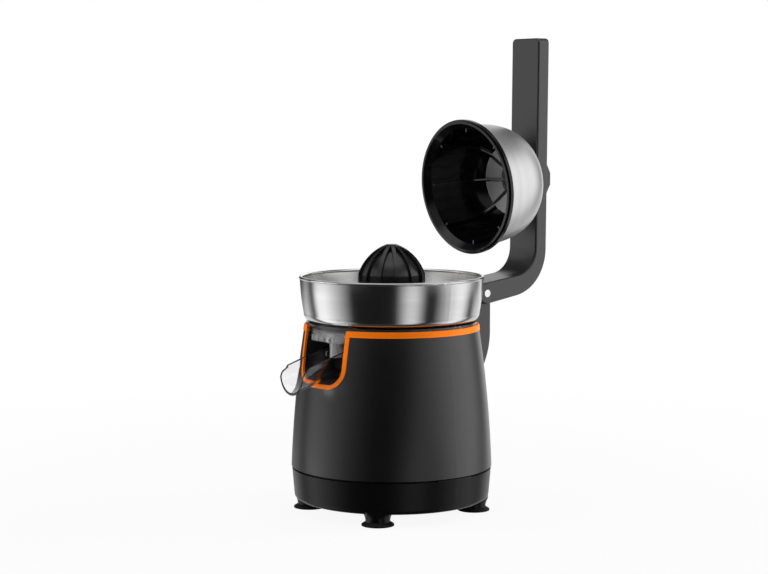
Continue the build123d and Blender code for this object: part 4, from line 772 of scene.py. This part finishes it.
# Each row: where a panel fades in, is full from, full to, has faded out (degrees), and its level.
low_panels = [
    (-180, -180, -140, -122, 0.80),
    (-121, -110, -96, -52, 1.50),
    (5, 22, 31, 46, 0.95),
    (57, 94, 104, 122, 1.30),
    (123, 138, 180, 180, 0.85),
]
high_panels = [
    (-180, -180, -178, -164, 0.90),
    (-150, -138, -132, -122, 0.35),
    (-121, -108, -90, -25, 0.72),
    (18, 82, 112, 134, 1.30),
    (135, 150, 180, 180, 1.10),
]


def row_of_panels(panels):
    """A colour ramp round the room with one soft-edged stretch for each panel."""
    stops = []
    for fades_in, full_from, full_to, faded_out, level in panels:
        stops += [(fades_in, dim_room), (full_from, level), (full_to, level), (faded_out, dim_room)]
    stops = stops[1:-1]  # the first and the last panel meet behind the object, so they don't fade there
    node = add(tree, "ShaderNodeValToRGB")
    ramp = node.color_ramp
    while len(ramp.elements) < len(stops):
        ramp.elements.new(0.5)
    for element, (degrees, level) in zip(ramp.elements, stops):
        element.position = degrees / 360 + 0.5
        element.color = (level, level, level, 1)
    join(tree, round_room, node.inputs[0])
    return node.outputs["Color"]


low_row, high_row = row_of_panels(low_panels), row_of_panels(high_panels)
print("panels", len(low_panels), "low and", len(high_panels), "high")

# %% [markdown]
# The bowl flares, so it looks down at a low row of white cards, and the upright faces look at a row of
# tall panels. Above and below them the room is darker. Straight overhead hangs one more panel, for
# everything that looks up, and a soft ceiling lies over the front. The camera itself sees plain white,
# not this room.

# %% World: layers by height
low_row_ends = (-0.22, -0.08)
walls_end, above_walls = (0.52, 0.68), 0.04
overhead_starts, overhead_level = (0.76, 0.90), 1.0
ground_ends, ground_level = (-0.85, -0.60), 0.05
ceiling_starts, ceiling_level = (0.22, 0.50), 0.40
front_starts = (0.0, 0.3)
plain_white = 1.0


def above(heights):
    """0 below one height of the view, 1 above another, and smooth between them."""
    return rising(tree, height, *heights, easing="SMOOTHSTEP")


room = mixed(tree, low_row, high_row, above(low_row_ends))
room = mixed(tree, room, above_walls, above(walls_end))
room = mixed(tree, room, overhead_level, above(overhead_starts))
room = mixed(tree, ground_level, room, above(ground_ends))
ceiling = compute(tree, "MULTIPLY", above(ceiling_starts), rising(tree, nearness, *front_starts))
room = mixed(tree, room, ceiling_level, ceiling, kind="ADD")
backdrop = tree.nodes["Background"]
join(tree, mixed(tree, room, plain_white, seen_directly(tree)), backdrop.inputs["Color"])
backdrop.inputs["Strength"].default_value = 1.0
print("world", len(tree.nodes), "nodes")

# %% [markdown]
# ## Softboxes
# Two tall softboxes model the round body from its sides, and one overhead gives the tops of the lever,
# the rim and the cup their light. Large lamps close by keep every shadow soft. Their power is low,
# because the room itself is bright. They are hidden from reflections, where the panels of the room
# already stand for them.

# %% Lamps
aim_height = 0.18


def softbox(name, right, nearer, height, wide, tall, watts):
    """A lamp placed by the picture's directions and aimed at the middle of the juicer."""
    lamp = bpy.data.lights.new(name, "AREA")
    lamp.shape = "RECTANGLE"
    lamp.size, lamp.size_y, lamp.energy = wide, tall, watts
    box = bpy.data.objects.new(name, lamp)
    box.location = picture_right * right + to_camera * nearer + upward * height
    aim = upward * aim_height - box.location
    box.rotation_euler = aim.to_track_quat("-Z", "Y").to_euler()
    box.visible_glossy = False
    bpy.context.scene.collection.objects.link(box)


softbox("right_softbox", right=1.25, nearer=-0.25, height=0.45, wide=0.5, tall=1.0, watts=16)
softbox("left_softbox", right=-1.30, nearer=0.0, height=0.45, wide=0.5, tall=1.0, watts=10)
softbox("top_softbox", right=0.1, nearer=-0.1, height=1.7, wide=1.2, tall=1.2, watts=5)
print("lamps", len(bpy.data.lights))
